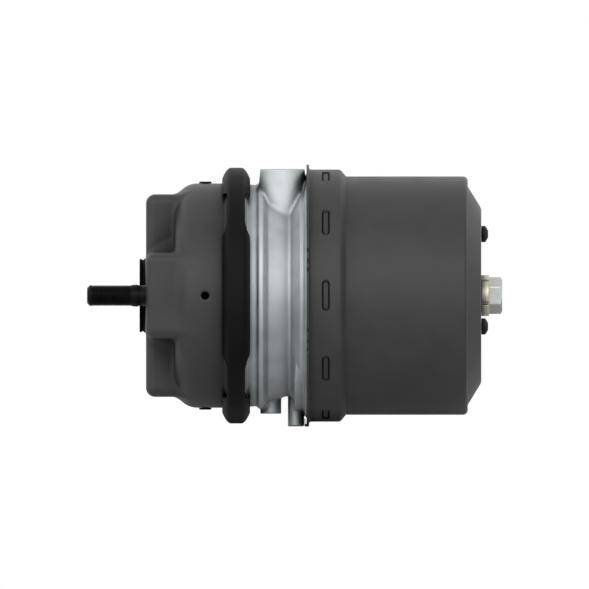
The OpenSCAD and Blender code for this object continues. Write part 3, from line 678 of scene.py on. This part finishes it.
def low_pad(p):
    """The thickened lower part of the slope, which two tangents to the waist cut off at the sides."""
    tangents = np.abs(p[:, 1]) * math.cos(LOW_PAD_ANGLE) - p[:, 2] * math.sin(LOW_PAD_ANGLE) - WAIST_R - 2.1
    pad = np.maximum(np.hypot(p[:, 1], p[:, 2]) - COLLAR_R - 3.2, WAIST_X + WAIST_W + 3.2 - p[:, 0])
    pad = cut(pad, -tangents, 2.5)
    return np.maximum(pad, np.maximum(p[:, 0] - SHOULDER_X + 1.5, p[:, 2] - LOW_PAD_TOP))


def centre_flange():
    web_x = extent("piston_tube")[0][0]
    pocket_x = web_x + 10
    hub_x = extent("bush_retainer")[1][0] + 0.85
    groove_x = SHOULDER_X + 5
    port_z = cast_high[2]
    outer = tabled(flange_outline(), cast_low, cast_high)
    before = 40.0
    front = tabled([
        (0, web_x), (DISH_FLOOR_R, web_x, 4), (DISH_MOUTH_R, cast_low[0], 0.5), (DISH_MOUTH_R, before),
        (0, before)
    ], cast_low, cast_high)
    rear = tabled([
        (0, hub_x), (HUB_R, hub_x, 1), (HUB_R, pocket_x, 3), (POCKET_R, pocket_x, 4),
        (POCKET_R, hub_x + 1, 1), (REAR_DISH_R - 6, hub_x + 5, 3), (REAR_DISH_R, SHOULDER_X + 3, 3),
        (REAR_DISH_R, FAR), (0, FAR)
    ], cast_low, cast_high)
    seal_groove = tabled([
        (SPIGOT_R - SPIGOT_GROOVE, groove_x), (FAR, groove_x), (FAR, groove_x + 4),
        (SPIGOT_R - SPIGOT_GROOVE, groove_x + 4)
    ], cast_low, cast_high)

    def low_boss(p, boss):
        x, r, z = boss
        return upright_rod(p, x, 0, r, z, LOW_BOSS_TOP, 0, 0.4)

    def port(p, solid, y):
        """Cuts a threaded port with its chamfer and the air passage below it."""
        solid = cut(solid, upright_rod(p, PORT_X, y, PORT_R + 0.8, port_z - PORT_DEPTH, FAR), 0.3)
        chamfer = (np.hypot(p[:, 0] - PORT_X, p[:, 1] - y) - PORT_R - 1.15 + (port_z - p[:, 2])) * 0.707
        solid = cut(solid, np.maximum(chamfer, port_z - 3 - p[:, 2]))
        return cut(solid, upright_rod(p, PORT_X, y, PASSAGE_R, PASSAGE_Z, FAR))

    def field(p):
        solid = outer(p)
        for y in (-PORT_Y, PORT_Y):
            boss = upright_rod(p, PORT_X, y, PORT_BOSS_R, PORT_BOSS_FOOT, port_z, PORT_DRAFT, 0.5)
            solid = join(solid, boss, 2.2)
        solid = join(solid, low_boss(p, FRONT_LOW_BOSS), 1.0)
        solid = join(solid, low_pad(p), 0.5)
        solid = join(solid, low_boss(p, REAR_LOW_BOSS), 0.8)
        past_spigot = np.hypot(p[:, 1], p[:, 2]) - SPIGOT_R
        solid = np.maximum(solid, np.where(p[:, 0] > SHOULDER_X, past_spigot, -FAR))
        solid = cut(solid, front(p), 0.4)
        solid = cut(solid, rear(p), 0.4)
        solid = cut(solid, seal_groove(p))
        solid = cut(solid, axial_rod(p, 0, 0, GUIDE_R, 0, FAR))
        for y in (-PORT_Y, PORT_Y):
            solid = port(p, solid, y)
        return solid

    piece = surface("centre_flange_skin", field, cast_low, cast_high, 1.0)
    dress(piece, CAST, nodes=["centre_flange"])


# Clamp band with its bolt

def clamp_band():
    half = CLAMP_HALF
    grip = LIP_ROOT_HALF + 0.1
    inner = CLAMP_R - CLAMP_T
    flank_r = SERVICE_R + 0.6
    cut_z = FLANK_CUT - 1.5
    corner = [(CLAMP_R - CORNER_DROP * u ** 2, half - CORNER_W * (1 - u)) for u in np.linspace(0, 1, 9)]
    profile = [(flank_r, -half, 0.4)] + [(r, -x) for r, x in corner[::-1]] + corner
    profile += [
        (flank_r, half, 0.4), (flank_r, grip), (LIP_ROOT_R, grip, 0.6), (inner, LIP_HALF + 0.1, 0.8),
        (inner, -LIP_HALF - 0.1, 0.8), (LIP_ROOT_R, -grip, 0.6), (flank_r, -grip)
    ]
    band = tabled([(p[0], p[1] + CLAMP_X, *p[2:]) for p in profile], clamp_low, clamp_high)

    def flanks(q, solid):
        """Cuts the flanks away beside the crown, with a small relief hole in each corner of the cuts."""
        past = 50.0
        window = round_box(np.abs(q), (CROWN_HALF + past, 0, 0), (past, FLANK_CUT, cut_z), 0.8)
        solid = cut(solid, window, 1.5)
        for along, place in ((1, FLANK_CUT + 0.8), (2, FLANK_CUT - 0.2)):
            hole = np.hypot(np.abs(q[:, 0]) - CROWN_HALF - 1.3, np.abs(q[:, along]) - place) - 1.5
            solid = cut(solid, hole, 0.3)
        return solid

    def lugs(q):
        off = np.abs(np.abs(q[:, 2]) - (CLAMP_GAP + LUG_T) / 2) - LUG_T / 2
        reach = np.maximum(inner + 0.3 - q[:, 1], q[:, 1] - LUG_Y)
        plate = np.maximum(np.maximum(np.abs(q[:, 0]) - CROWN_HALF, reach), off)
        nose = np.maximum(np.hypot(q[:, 0], q[:, 1] - LUG_Y) - CROWN_HALF, off)
        return np.minimum(plate, nose)

    def field(p):
        q = p - (CLAMP_X, 0, 0)
        solid = join(flanks(q, band(p)), lugs(q), 1.5)
        split = np.maximum(np.abs(q[:, 2]) - CLAMP_GAP / 2, -q[:, 1])
        solid = cut(solid, split, 0.4)
        return cut(solid, np.hypot(q[:, 0], q[:, 1] - LUG_Y) - LUG_BOLT_R - 0.6)

    piece = surface("clamp_band_skin", field, clamp_low, clamp_high, 0.7)
    dress(piece, CLAMP, nodes=["clamp_band"])


def hex_shift(flat_r, first, last, both_ends=False):
    """Makes the rings between first and last hexagonal, with a turned chamfer at the last or both ends."""
    chamfer_r, slope = flat_r * 0.985, 1.73

    def shift(radii, xs, angle):
        x = xs[0]
        if x < first or x > last or radii[0] < flat_r - 0.01:
            return radii, xs
        limit = chamfer_r + slope * (last - x)
        if both_ends:
            limit = min(limit, chamfer_r + slope * (x - first))
        return np.minimum(flat_r / np.cos(np.mod(angle, math.pi / 3) - math.pi / 6), limit), xs

    return shift


def hex_rings(flat_r, first, last, both_ends=False):
    """Outline points of a hexagon's side, close together where the chamfers are."""
    steps = np.arange(0, 1.21, 0.1)
    low = first + steps if both_ends else np.array([first])
    return [(flat_r, x) for x in np.concatenate([low, last - steps[::-1]])]


def thread_rings(r, first, last, pitch, per_turn=8):
    """Outline points along a thread."""
    return [(r, x) for x in np.arange(first, last, pitch / per_turn)]


def thread_wave(x, angle, pitch):
    """Depth of a right-hand thread from its crest, 0 to 1, at a place along it and an angle round it."""
    phase = np.mod(x / pitch - angle / (2 * math.pi), 1)
    return np.clip(np.abs(phase - 0.5) * 2.6 - 0.15, 0, 1)


def thread_shift(r, first, last, pitch, depth, inner):
    """Cuts a thread into the rings of radius r, after the shift inner. It runs out over one pitch."""
    def shift(radii, xs, angle):
        radii, xs = inner(radii, xs, angle)
        x = xs[0]
        if not first <= x <= last or abs(radii[0] - r) > 0.01:
            return radii, xs
        fade = min(1, (x - first) / pitch, (last - x) / pitch)
        return radii - depth * fade * thread_wave(x, angle, pitch), xs

    return shift


def clamp_bolt():
    r, flat_r = LUG_BOLT_R, LUG_HEX_R
    head_z = CLAMP_GAP / 2 + LUG_T + SEAT
    top = head_z + 0.65 * 2 * r
    tip = clamp_bolt_tip
    first, last = tip + 0.9, tip + LUG_BOLT_THREAD
    outline = [(0, tip), (r - 0.8, tip), (r, tip + 0.8)] + thread_rings(r, first, last, LUG_BOLT_PITCH)
    outline += [(r, head_z - 0.01), (flat_r, head_z)] + hex_rings(flat_r, head_z + 0.01, top)
    outline += [(flat_r - 1, top), (0, top)]
    threads = thread_shift(r, first, last, LUG_BOLT_PITCH, 0.6, hex_shift(flat_r, head_z, top))
    piece = lathe("clamp_bolt_skin", outline, 72, threads, (CLAMP_X, LUG_Y, 0), (0, 0, 1))
    dress(piece, ZINC, nodes=["clamp_bolt"])


def clamp_nut():
    bore, flat_r = LUG_BOLT_R + 0.1, LUG_HEX_R
    z = CLAMP_GAP / 2 + LUG_T + SEAT
    top = z + 0.95 * 2 * LUG_BOLT_R
    outline = [(bore, z), (flat_r, z)] + hex_rings(flat_r, z + 0.01, top, True)
    outline += [(flat_r - 1, top), (bore + 0.7, top), (bore, top - 0.7)]
    piece = lathe("clamp_nut_skin", outline, 72, hex_shift(flat_r, z, top, True),
                  (CLAMP_X, LUG_Y, 0), (0, 0, -1))
    dress(piece, ZINC, nodes=["clamp_nut"])


# Studs, seal and plugs at the front

def mounting_studs():
    """Two studs. A flat on each head clears the wall of the pad."""
    r, tip = STUD_R, stud_tip
    first, last = tip + 2.4, -10.5
    head_x, head_r = WALL + SEAT, 12.0
    flat = PAD_REACH - WALL - SEAT - PAD_EDGE_R / 2 - STUD_Y
    outline = [(0, tip), (r - 2.3, tip), (r - 0.05, tip + 2.25)]
    outline += thread_rings(r, first, last, STUD_PITCH)
    outline += [
        (r, -10.4), (r + 0.3, -9.2), (r + 0.3, -6.2), (r - 0.35, -5.2), (r - 0.35, -0.6), (r + 0.3, 0),
        (r + 0.3, head_x), (head_r, head_x + 0.02), (head_r, head_x + 4.2), (head_r - 0.8, head_x + 5),
        (0, head_x + 5)
    ]
    for side, name in ((-1, "near"), (1, "far")):
        def flatten(radii, xs, angle):
            if xs[0] > head_x and radii[0] > r + 1:
                outward = np.maximum(-side * np.sin(angle), 1e-6)
                return np.minimum(radii, flat / outward), xs
            return radii, xs

        threads = thread_shift(r, first, last, STUD_PITCH, 0.75, flatten)
        piece = lathe("mounting_stud_" + name, outline, 96, threads, (0, side * STUD_Y, 0))
        dress(piece, STUD, nodes=["mounting_studs"])


def mounting_seal():
    """A rubber ring with two lips on its face and a waist round its rim."""
    inner, outer = OPENING_R, seal_high[1]
    bottom, front = SEAL_RECESS - SEAT, seal_low[0]
    outline = rounded([
        (inner, bottom), (inner, front + 1, 0.5), (inner + 0.8, front, 0.4), (inner + 1.6, front, 0.4),
        (inner + 2.2, front + 0.7, 0.4), (outer - 2.4, front + 0.7, 0.4), (outer - 1.8, front, 0.4),
        (outer - 0.8, front, 0.4), (outer, front + 0.8, 0.4), (outer - 1.2, front / 2, 0.8),
        (outer, -0.8, 0.4), (outer, bottom)
    ], 5)
    dress(lathe("mounting_seal_skin", outline, 180), RUBBER, nodes=["mounting_seal"])


def drain_plugs():
    inside, outside, top = SERVICE_R - WALL - 1, SERVICE_R + SEAT, SERVICE_R + 1.45
    stem_r, cap_r, dimple = DRAIN_R - 0.05, DRAIN_CAP_R, SERVICE_R + 0.9
    outline = rounded([
        (0, inside), (stem_r, inside, 0.5), (stem_r, outside), (cap_r, outside), (cap_r - 0.2, top, 0.5),
        (1.6, top, 0.3), (1.2, dimple, 0.3), (0, dimple)
    ], 4)
    for name, aim in (("top", (0, 0, 1)), ("bottom", (0, 0, -1)), ("far", (0, 1, 0))):
        piece = lathe("drain_plug_" + name, outline, 48, None, (DRAIN_X, 0, 0), aim)
        dress(piece, PLASTIC, nodes=["drain_plugs"])


# Spring housing and its rear end

def stadium(u, v, half_w, half_l):
    """Distance from the edge of a stadium shape, negative inside."""
    return np.hypot(u, np.maximum(np.abs(v) - (half_l - half_w), 0)) - half_w


def ease(t):
    """A soft step from 0 to 1."""
    t = np.clip(t, 0, 1)
    return t * t * (3 - 2 * t)


def refined(points, low, high):
    """The outline with more points, 0.3 apart, where a side along X crosses the places low to high."""
    outline = []
    fine = np.arange(low, high + 0.01, 0.3)
    for a, b in zip(points, np.roll(points, -1, 0)):
        outline.append(a)
        along_x = abs(a[0] - b[0]) < 0.01
        if along_x and min(a[1], b[1]) < low and max(a[1], b[1]) > high:
            outline += [np.array([a[0], x]) for x in (fine if a[1] < b[1] else fine[::-1])]
    return outline


def from_nearest(angle, first, count):
    """The angle to the nearest of count places spaced evenly from first."""
    step = 2 * math.pi / count
    return np.mod(angle - first + step / 2, step) - step / 2


def spring_housing():
    front, rear = rear_low[0] + HOOK_REACH, rear_high[0]
    flare_r = rear_high[2]
    stake_x = front + STAKE_FROM_LIP

    def wall_line(inset):
        """The step of the mouth, the long part and the rear cone, for the outside or the inside."""
        step_x, cone_x = front + MOUTH_L + inset * 0.3, rear - REAR_CONE - inset
        return [
            (MOUTH_R - inset, step_x, 3.6), (SPRING_R - inset, step_x + STEP_L, 1.2),
            (SPRING_R - inset, cone_x, max(3.8 - inset, 0.8)),
            (REAR_END_R + 15.5 - inset * 0.3, cone_x, 0.5),
            (REAR_END_R - inset * 0.3, rear - 0.7 - inset, 1.2), (REAR_END_R - 2, rear - inset, 0.5)
        ]

    corners = [
        (MOUTH_R - WALL, front), (flare_r, front, 0.3), (flare_r, front + FLARE_T, 0.7),
        (MOUTH_R, front + FLARE_T, 1.6)
    ]
    corners += wall_line(0) + [(NUT_HOLE_R, rear, 0.4), (NUT_HOLE_R, rear - WALL)] + wall_line(WALL)[::-1]
    outline = refined(rounded(corners, 6), stake_x - STAKE_ZONE, stake_x + STAKE_ZONE)

    def pressed(radii, xs, angle):
        """Presses the marks into the lip and the stakes into the wall, each with a groove round it."""
        x, r = xs[0], radii[0]
        if x < front + FLARE_T + 0.2 and r > MOUTH_R + 1.5:
            for mark in LIP_MARKS:
                swing = np.abs(np.angle(np.exp(1j * (angle - mark)))) * r
                radii = radii - 2.2 * ease((1.6 - swing) / 0.8)
            return radii, xs
        if abs(x - stake_x) > STAKE_ZONE or r < MOUTH_R - WALL - 0.1:
            return radii, xs
        outer = r > MOUTH_R - 0.5
        less = 0 if outer else 1
        swing = from_nearest(angle, math.pi / 2, STAKE_COUNT) * MOUTH_R
        edge = stadium(x - stake_x, swing, STAKE_W / 2 - less, STAKE_L / 2 - less)
        sink = STAKE_SINK * ease(-edge / 0.55)
        if outer:
            sink = sink + 1.2 * ease(1 - np.abs(edge + 0.75) / 0.6)
        return radii - sink, xs

    piece = lathe("spring_housing_skin", outline, 900, pressed)
    dress(piece, E_COAT, nodes=["spring_housing"])


def lip_hook():
    """The small tab under the lip of the spring housing, which points towards the clamp."""
    outer = rear_high[2]
    tip, root = rear_low[0], rear_low[0] + HOOK_REACH + 1
    profile = turned_field([
        (outer, root), (outer, tip, 0.4), (outer - 6, tip, 0.2), (outer - 6, tip + HOOK_T, 0.2),
        (outer - 2, tip + HOOK_T, 0.2), (outer - 2, root)
    ])

    def field(p):
        return np.maximum(profile(p), np.maximum(np.abs(p[:, 1]) - HOOK_HALF, p[:, 2]))

    piece = surface("lip_hook", field, (tip, -HOOK_HALF, -outer), (root, HOOK_HALF, 6 - outer), 0.2)
    dress(piece, E_COAT)


def vent_caps():
    """Three caps with conical ends and a dimple."""
    r, stem_r, bottom, end = VENT_CAP_R, 2.9, vent_low[0], vent_high[0]
    face = bottom + WALL + SEAT
    outline = rounded([
        (0, bottom), (stem_r, bottom, 0.6), (stem_r, face), (r - 0.2, face, 0.3), (r, face + 0.8, 0.5),
        (r, end - 2.1, 0.6), (r - 3.4, end, 0.9), (1.7, end, 0.3), (1.3, end - 0.7, 0.3), (0, end - 0.7)
    ], 5)
    for name, turn in (("top", 0), ("left", 120), ("right", 240)):
        t = math.radians(turn)
        place = (0, -VENT_R * math.sin(t), VENT_R * math.cos(t))
        dress(lathe("vent_cap_" + name, outline, 64, None, place), PLASTIC, nodes=["vent_caps"])


def slotted(r, first):
    """Slots along the rim of a ring of radius r, for the places beyond first."""
    def shift(radii, xs, angle):
        if radii[0] < r - SLOT_DEPTH or xs[0] < first:
            return radii, xs
        swing = np.abs(from_nearest(angle, SLOT_START, SLOT_COUNT)) * r
        bottom = r - SLOT_DEPTH * (1 - ease((swing - SLOT_HALF) / 0.6))
        return np.minimum(radii, bottom), xs

    return shift


def release_nut():
    """A round nut with slots, pressed into the rear wall."""
    r, bore = nut_high[2], BOLT_R + 0.1
    inside, face, end = nut_low[0], rear_high[0] + SEAT, nut_high[0]
    outline = rounded([
        (bore, inside), (NUT_HOLE_R - 0.1, inside, 0.5), (NUT_HOLE_R - 0.1, face), (r - 2.4, face),
        (r - 1.2, face), (r, face, 0.3), (r, end - 0.1), (r, end), (r - 0.1, end), (r - 1.2, end),
        (r - 2.4, end), (bore + 0.8, end), (bore, end - 0.8)
    ], 4)
    dress(lathe("release_nut_skin", outline, 360, slotted(r, face - 0.1)), ZINC, nodes=["release_nut"])


def lock_ring():
    r, bore = lock_high[2], BOLT_R + 0.4
    face, end = lock_low[0], lock_high[0]
    outline = [(bore, face)] + [(r - d, face) for d in (2.4, 1.6, 0.8, 0.1, 0)]
    outline += [(r, face + 0.1), (r, end - 0.6), (r - 0.1, end - 0.25), (r - 0.5, end)]
    outline += [(r - d, end) for d in (0.8, 1.6, 2.4, 3.2)] + [(bore + 0.5, end), (bore, end - 0.5)]
    dress(lathe("lock_ring_skin", outline, 360, slotted(r, face - 1)), ZINC, nodes=["lock_ring"])


def release_bolt():
    r, flat_r = BOLT_R, BOLT_FLAT_R
    head_x, tip, end = lock_high[0] + SEAT, bolt_low[0], bolt_high[0]
    shank = washer_x + 0.3
    first, last = shank + 1, head_x - 1
    outline = [(0, tip), (BOLT_JOURNAL_R, tip), (BOLT_JOURNAL_R, shank), (r - 0.9, shank)]
    outline += [(r - 0.05, shank + 0.9)] + thread_rings(r, first, last, BOLT_PITCH, 6)
    outline += [(r, head_x - 0.5), (r, head_x), (flat_r, head_x + 0.01)]
    outline += hex_rings(flat_r, head_x + 0.02, end) + [(flat_r - 0.7, end), (0, end)]
    threads = thread_shift(r, first, last, BOLT_PITCH, 0.95, hex_shift(flat_r, head_x, end))
    piece = lathe("release_bolt_skin", outline, 96, threads)
    dress(piece, HEX_STEEL, "release_screw", ["release_bolt"])


# Parts inside that are stretched or pressed together when the unit works

CLOSED_TURN = 1.06
POWER_WIRE = 12.5
POWER_COIL_R = 58.0
RETURN_WIRE = 4.0
RETURN_TURNS = 5


def coil(name, x_a, x_b, r_a, r_b, wire, turns, sides):
    """A helical spring from x_a to x_b whose end turns lie CLOSED_TURN wires apart."""
    t = np.linspace(0, 1, int(turns * 48) + 1)
    share, closed = 1 / turns, CLOSED_TURN * wire
    low, high = x_a + wire / 2, x_b - wire / 2
    middle = low + closed + (high - low - 2 * closed) * (t - share) / max(1 - 2 * share, 1e-6)
    start, finish = low + closed * t / share, high - closed * (1 - t) / share
    x = np.where(t < share, start, np.where(t > 1 - share, finish, middle))
    angle = 2 * math.pi * turns * t
    r = r_a + (r_b - r_a) * t
    return tube(name, np.stack([x, r * np.sin(angle), r * np.cos(angle)], 1), wire / 2, sides)


def squash_with_rod(piece):
    """Gives a piece a mesh of its own."""
    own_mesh(piece)


def return_spring():
    low, high = extent("return_spring")
    piece = coil("return_spring_skin", low[0], high[0], OPENING_R + 14, OPENING_R + 17, RETURN_WIRE,
                 RETURN_TURNS, 16)
    dress(piece, STEEL, nodes=["return_spring"])
    squash_with_rod(piece)


def power_spring():
    low, high = extent("power_spring")
    turns = (high[0] - low[0] + 1 - POWER_WIRE) / (CLOSED_TURN * POWER_WIRE)
    piece = coil("power_spring_skin", low[0], high[0], POWER_COIL_R, POWER_COIL_R, POWER_WIRE, turns, 20)
    dress(piece, PAINT, nodes=["power_spring"], ride=False)
    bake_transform(piece)


def pushrod_boot():
    """A folded boot, with a foot at the opening and a collar that grips the rod."""
    low, high = extent("pushrod_boot")
    foot, collar = low[0] + 3.9, high[0] - 8
    folds, wall = 6, 1.3
    small, large = 15.0, OPENING_R + 3
    t = np.linspace(0, 1, folds * 16 + 1)
    inner = small + (large - small) * (0.5 - 0.5 * np.cos(2 * math.pi * folds * t))
    x = foot + (collar - foot) * t
    outline = [(OPENING_R + 2.2, low[0]), (OPENING_R + 7, low[0]), (OPENING_R + 7, low[0] + 2),
               (OPENING_R + 2, low[0] + 2.6)]
    outline += list(zip(inner + wall, x + 0.4))
    outline += [(small + 2.5, collar + 3), (small + 2.5, high[0]), (rod_high[2] + 0.05, high[0]),
                (rod_high[2] + 0.05, collar + 3)]
    outline += list(zip(inner[::-1], x[::-1])) + [(small, low[0] + 2.5)]
    piece = lathe("pushrod_boot_skin", outline, 128)
    dress(piece, RUBBER, nodes=["pushrod_boot"])
    squash_with_rod(piece)


def diaphragm():
    """A cup of rubber from the clamped rim to the flat middle on the push plate."""
    thick = 3.0
    flat_x, rim_x, rim_r = diaphragm_high[0] - thick, diaphragm_low[0], diaphragm_high[2]
    corners = [
        (0, flat_x), (61, flat_x, 4), (77.9, rim_x, 1.5), (rim_r, rim_x, 0.3), (rim_r, rim_x + thick, 0.3),
        (80.9, rim_x + thick, 1.5), (63.4, flat_x + thick, 4), (0, flat_x + thick)
    ]
    points = rounded(corners, 8)
    outline = []
    for a, b in zip(points, np.roll(points, -1, 0)):
        steps = max(1, int(np.linalg.norm(b - a) / 1.5))
        outline += [a + (b - a) * k / steps for k in range(steps)]
    piece = lathe("diaphragm_skin", outline, 144)
    dress(piece, RUBBER, nodes=["diaphragm"], ride=False)
    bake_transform(piece)


def pushrod():
    tip, r = rod_low[0], rod_high[2]
    angle = np.linspace(0, math.pi / 2, 13)
    outline = [(r * math.sin(a), tip + r - r * math.cos(a)) for a in angle]
    outline += [(r, rod_high[0] - 1), (r - 1, rod_high[0]), (0, rod_high[0])]
    dress(lathe("pushrod_skin", outline, 96), ZINC, "pushrod_group", ["pushrod"])


def push_plate():
    face, back, r = plate_low[0], plate_high[0], plate_high[2]
    ring = face + 0.6
    outline = rounded([
        (0, face), (38, face), (40, ring, 1), (46, ring, 1), (48, face), (r, face, 1), (r, back, 1),
        (0, back)
    ], 6)
    dress(lathe("push_plate_skin", outline, 144), ZINC, "pushrod_group", ["push_plate"])


def port_threads():
    """A thin threaded sleeve in each port, since the casting's mesh is too coarse for the thread."""
    crest, root = PORT_R, PORT_R + 0.9
    bottom, top = cast_high[2] - PORT_DEPTH + 0.2, cast_high[2] - 1.4
    rings = thread_rings(crest, bottom + 0.1, top - 0.1, PORT_PITCH, 6)
    outline = [(root, bottom), (crest, bottom)] + rings + [(crest, top), (root, top)]

    def shift(radii, zs, angle):
        if radii[0] > crest + 0.75:
            return radii, zs
        return radii + 0.7 * thread_wave(zs[0], angle, PORT_PITCH), zs

    for y, name in ((-PORT_Y, "service"), (PORT_Y, "parking")):
        piece = lathe("port_thread_" + name, outline[::-1], 72, shift, (PORT_X, y, 0), (0, 0, 1))
        dress(piece, CAST)


for build in (
    service_housing, centre_flange, clamp_band, clamp_bolt, clamp_nut, mounting_studs, mounting_seal,
    drain_plugs, spring_housing, lip_hook, vent_caps, release_nut, lock_ring, release_bolt, return_spring,
    power_spring, pushrod_boot, diaphragm, pushrod, push_plate, port_threads
):
    build()


# Light, floor and camera

PIXEL = 0.755
PHOTO = 589
CENTRE_PIXEL = (294.5, 294.5)
AXIS_PIXEL_Y = 295.6
FACE_PIXEL_X = 146.0
FLOOR_GAP = 6.0
FLOOR_HALF = 9000.0
FLOOR_WHITE = 0.15
FLOOR_TONE = 0.62


def photo_camera():
    """An orthographic camera square to the side of the unit, framed as the photograph is."""
    data = bpy.data.cameras.new("camera")
    data.type = "ORTHO"
    data.ortho_scale = PHOTO * PIXEL * MM
    camera = bpy.data.objects.new("camera", data)
    bpy.context.scene.collection.objects.link(camera)
    x = (CENTRE_PIXEL[0] - FACE_PIXEL_X) * PIXEL * MM
    z = (AXIS_PIXEL_Y - CENTRE_PIXEL[1]) * PIXEL * MM
    camera.location = (x, -1.5, z)
    camera.rotation_euler = (math.pi / 2, 0, 0)
    data.clip_end = 10
    bpy.context.scene.camera = camera


def softbox(name, place, target, size, power):
    """A rectangular lamp at a place, in metres, that points at its target."""
    data = bpy.data.lights.new(name, "AREA")
    data.shape = "RECTANGLE"
    data.size, data.size_y = size
    data.energy = power
    lamp = bpy.data.objects.new(name, data)
    bpy.context.scene.collection.objects.link(lamp)
    lamp.location = place
    lamp.rotation_mode = "QUATERNION"
    lamp.rotation_quaternion = (Vector(target) - Vector(place)).to_track_quat("-Z", "Y")


def mix_seen(tree, lit, seen_as, output, share=1.0):
    """Blends the shader lit towards seen_as for rays from the camera, metal and glass."""
    path = tree.nodes.new("ShaderNodeLightPath")
    seen = path.outputs["Is Camera Ray"]
    for kind in ("Is Glossy Ray", "Is Transmission Ray"):
        either = tree.nodes.new("ShaderNodeMath")
        either.operation = "MAXIMUM"
        tree.links.new(seen, either.inputs[0])
        tree.links.new(path.outputs[kind], either.inputs[1])
        seen = either.outputs[0]
    part = tree.nodes.new("ShaderNodeMath")
    part.operation = "MULTIPLY"
    part.inputs[1].default_value = share
    tree.links.new(seen, part.inputs[0])
    mix = tree.nodes.new("ShaderNodeMixShader")
    tree.links.new(part.outputs[0], mix.inputs["Fac"])
    tree.links.new(lit, mix.inputs[1])
    tree.links.new(seen_as, mix.inputs[2])
    tree.links.new(mix.outputs[0], output.inputs["Surface"])


def world():
    """A dim sky as light. The camera, metal and glass see a white backdrop, and the floor's tone below."""
    made = bpy.data.worlds.new("studio")
    bpy.context.scene.world = made
    made.use_nodes = True
    tree = made.node_tree
    sky = tree.nodes["Background"]
    sky.inputs["Color"].default_value = (0.5, 0.5, 0.505, 1)
    direction = tree.nodes.new("ShaderNodeSeparateXYZ")
    tree.links.new(tree.nodes.new("ShaderNodeTexCoord").outputs["Generated"], direction.inputs[0])
    level = tree.nodes.new("ShaderNodeMath")
    level.operation = "GREATER_THAN"
    level.inputs[1].default_value = -0.005
    tree.links.new(direction.outputs["Z"], level.inputs[0])
    backdrop = tree.nodes.new("ShaderNodeBackground")
    tone = ramp(tree, level.outputs[0], (0, (FLOOR_TONE,) * 3), (1, (1, 1, 1)))
    tree.links.new(tone, backdrop.inputs["Color"])
    mix_seen(tree, sky.outputs[0], backdrop.outputs[0], tree.nodes["World Output"])


def floor():
    """A pale floor that keeps its shadows. The camera, metal and glass see it a little whiter."""
    half = FLOOR_HALF
    z = rear_low[2] - FLOOR_GAP
    piece = mesh_object("floor", [(-half, -half, z), (half, -half, z), (half, half, z), (-half, half, z)],
                        [[0, 1, 2, 3]], smooth=False)
    made, tree, shader = nodes_of("floor", (0.8, 0.8, 0.8), 0.0, 0.8)
    white = tree.nodes.new("ShaderNodeEmission")
    mix_seen(tree, shader.outputs[0], white.outputs[0], tree.nodes["Material Output"], FLOOR_WHITE)
    piece.data.materials.append(made)


photo_camera()
world()
floor()
softbox("key", (0.0, -1.09, 0.51), (0.08, 0, 0), (2.4, 0.9), 7.7)
softbox("left", (-1.0, -0.5, 0.45), (0.1, 0, 0), (0.7, 0.7), 1.6)

scene = bpy.context.scene
scene.view_settings.view_transform = "Standard"
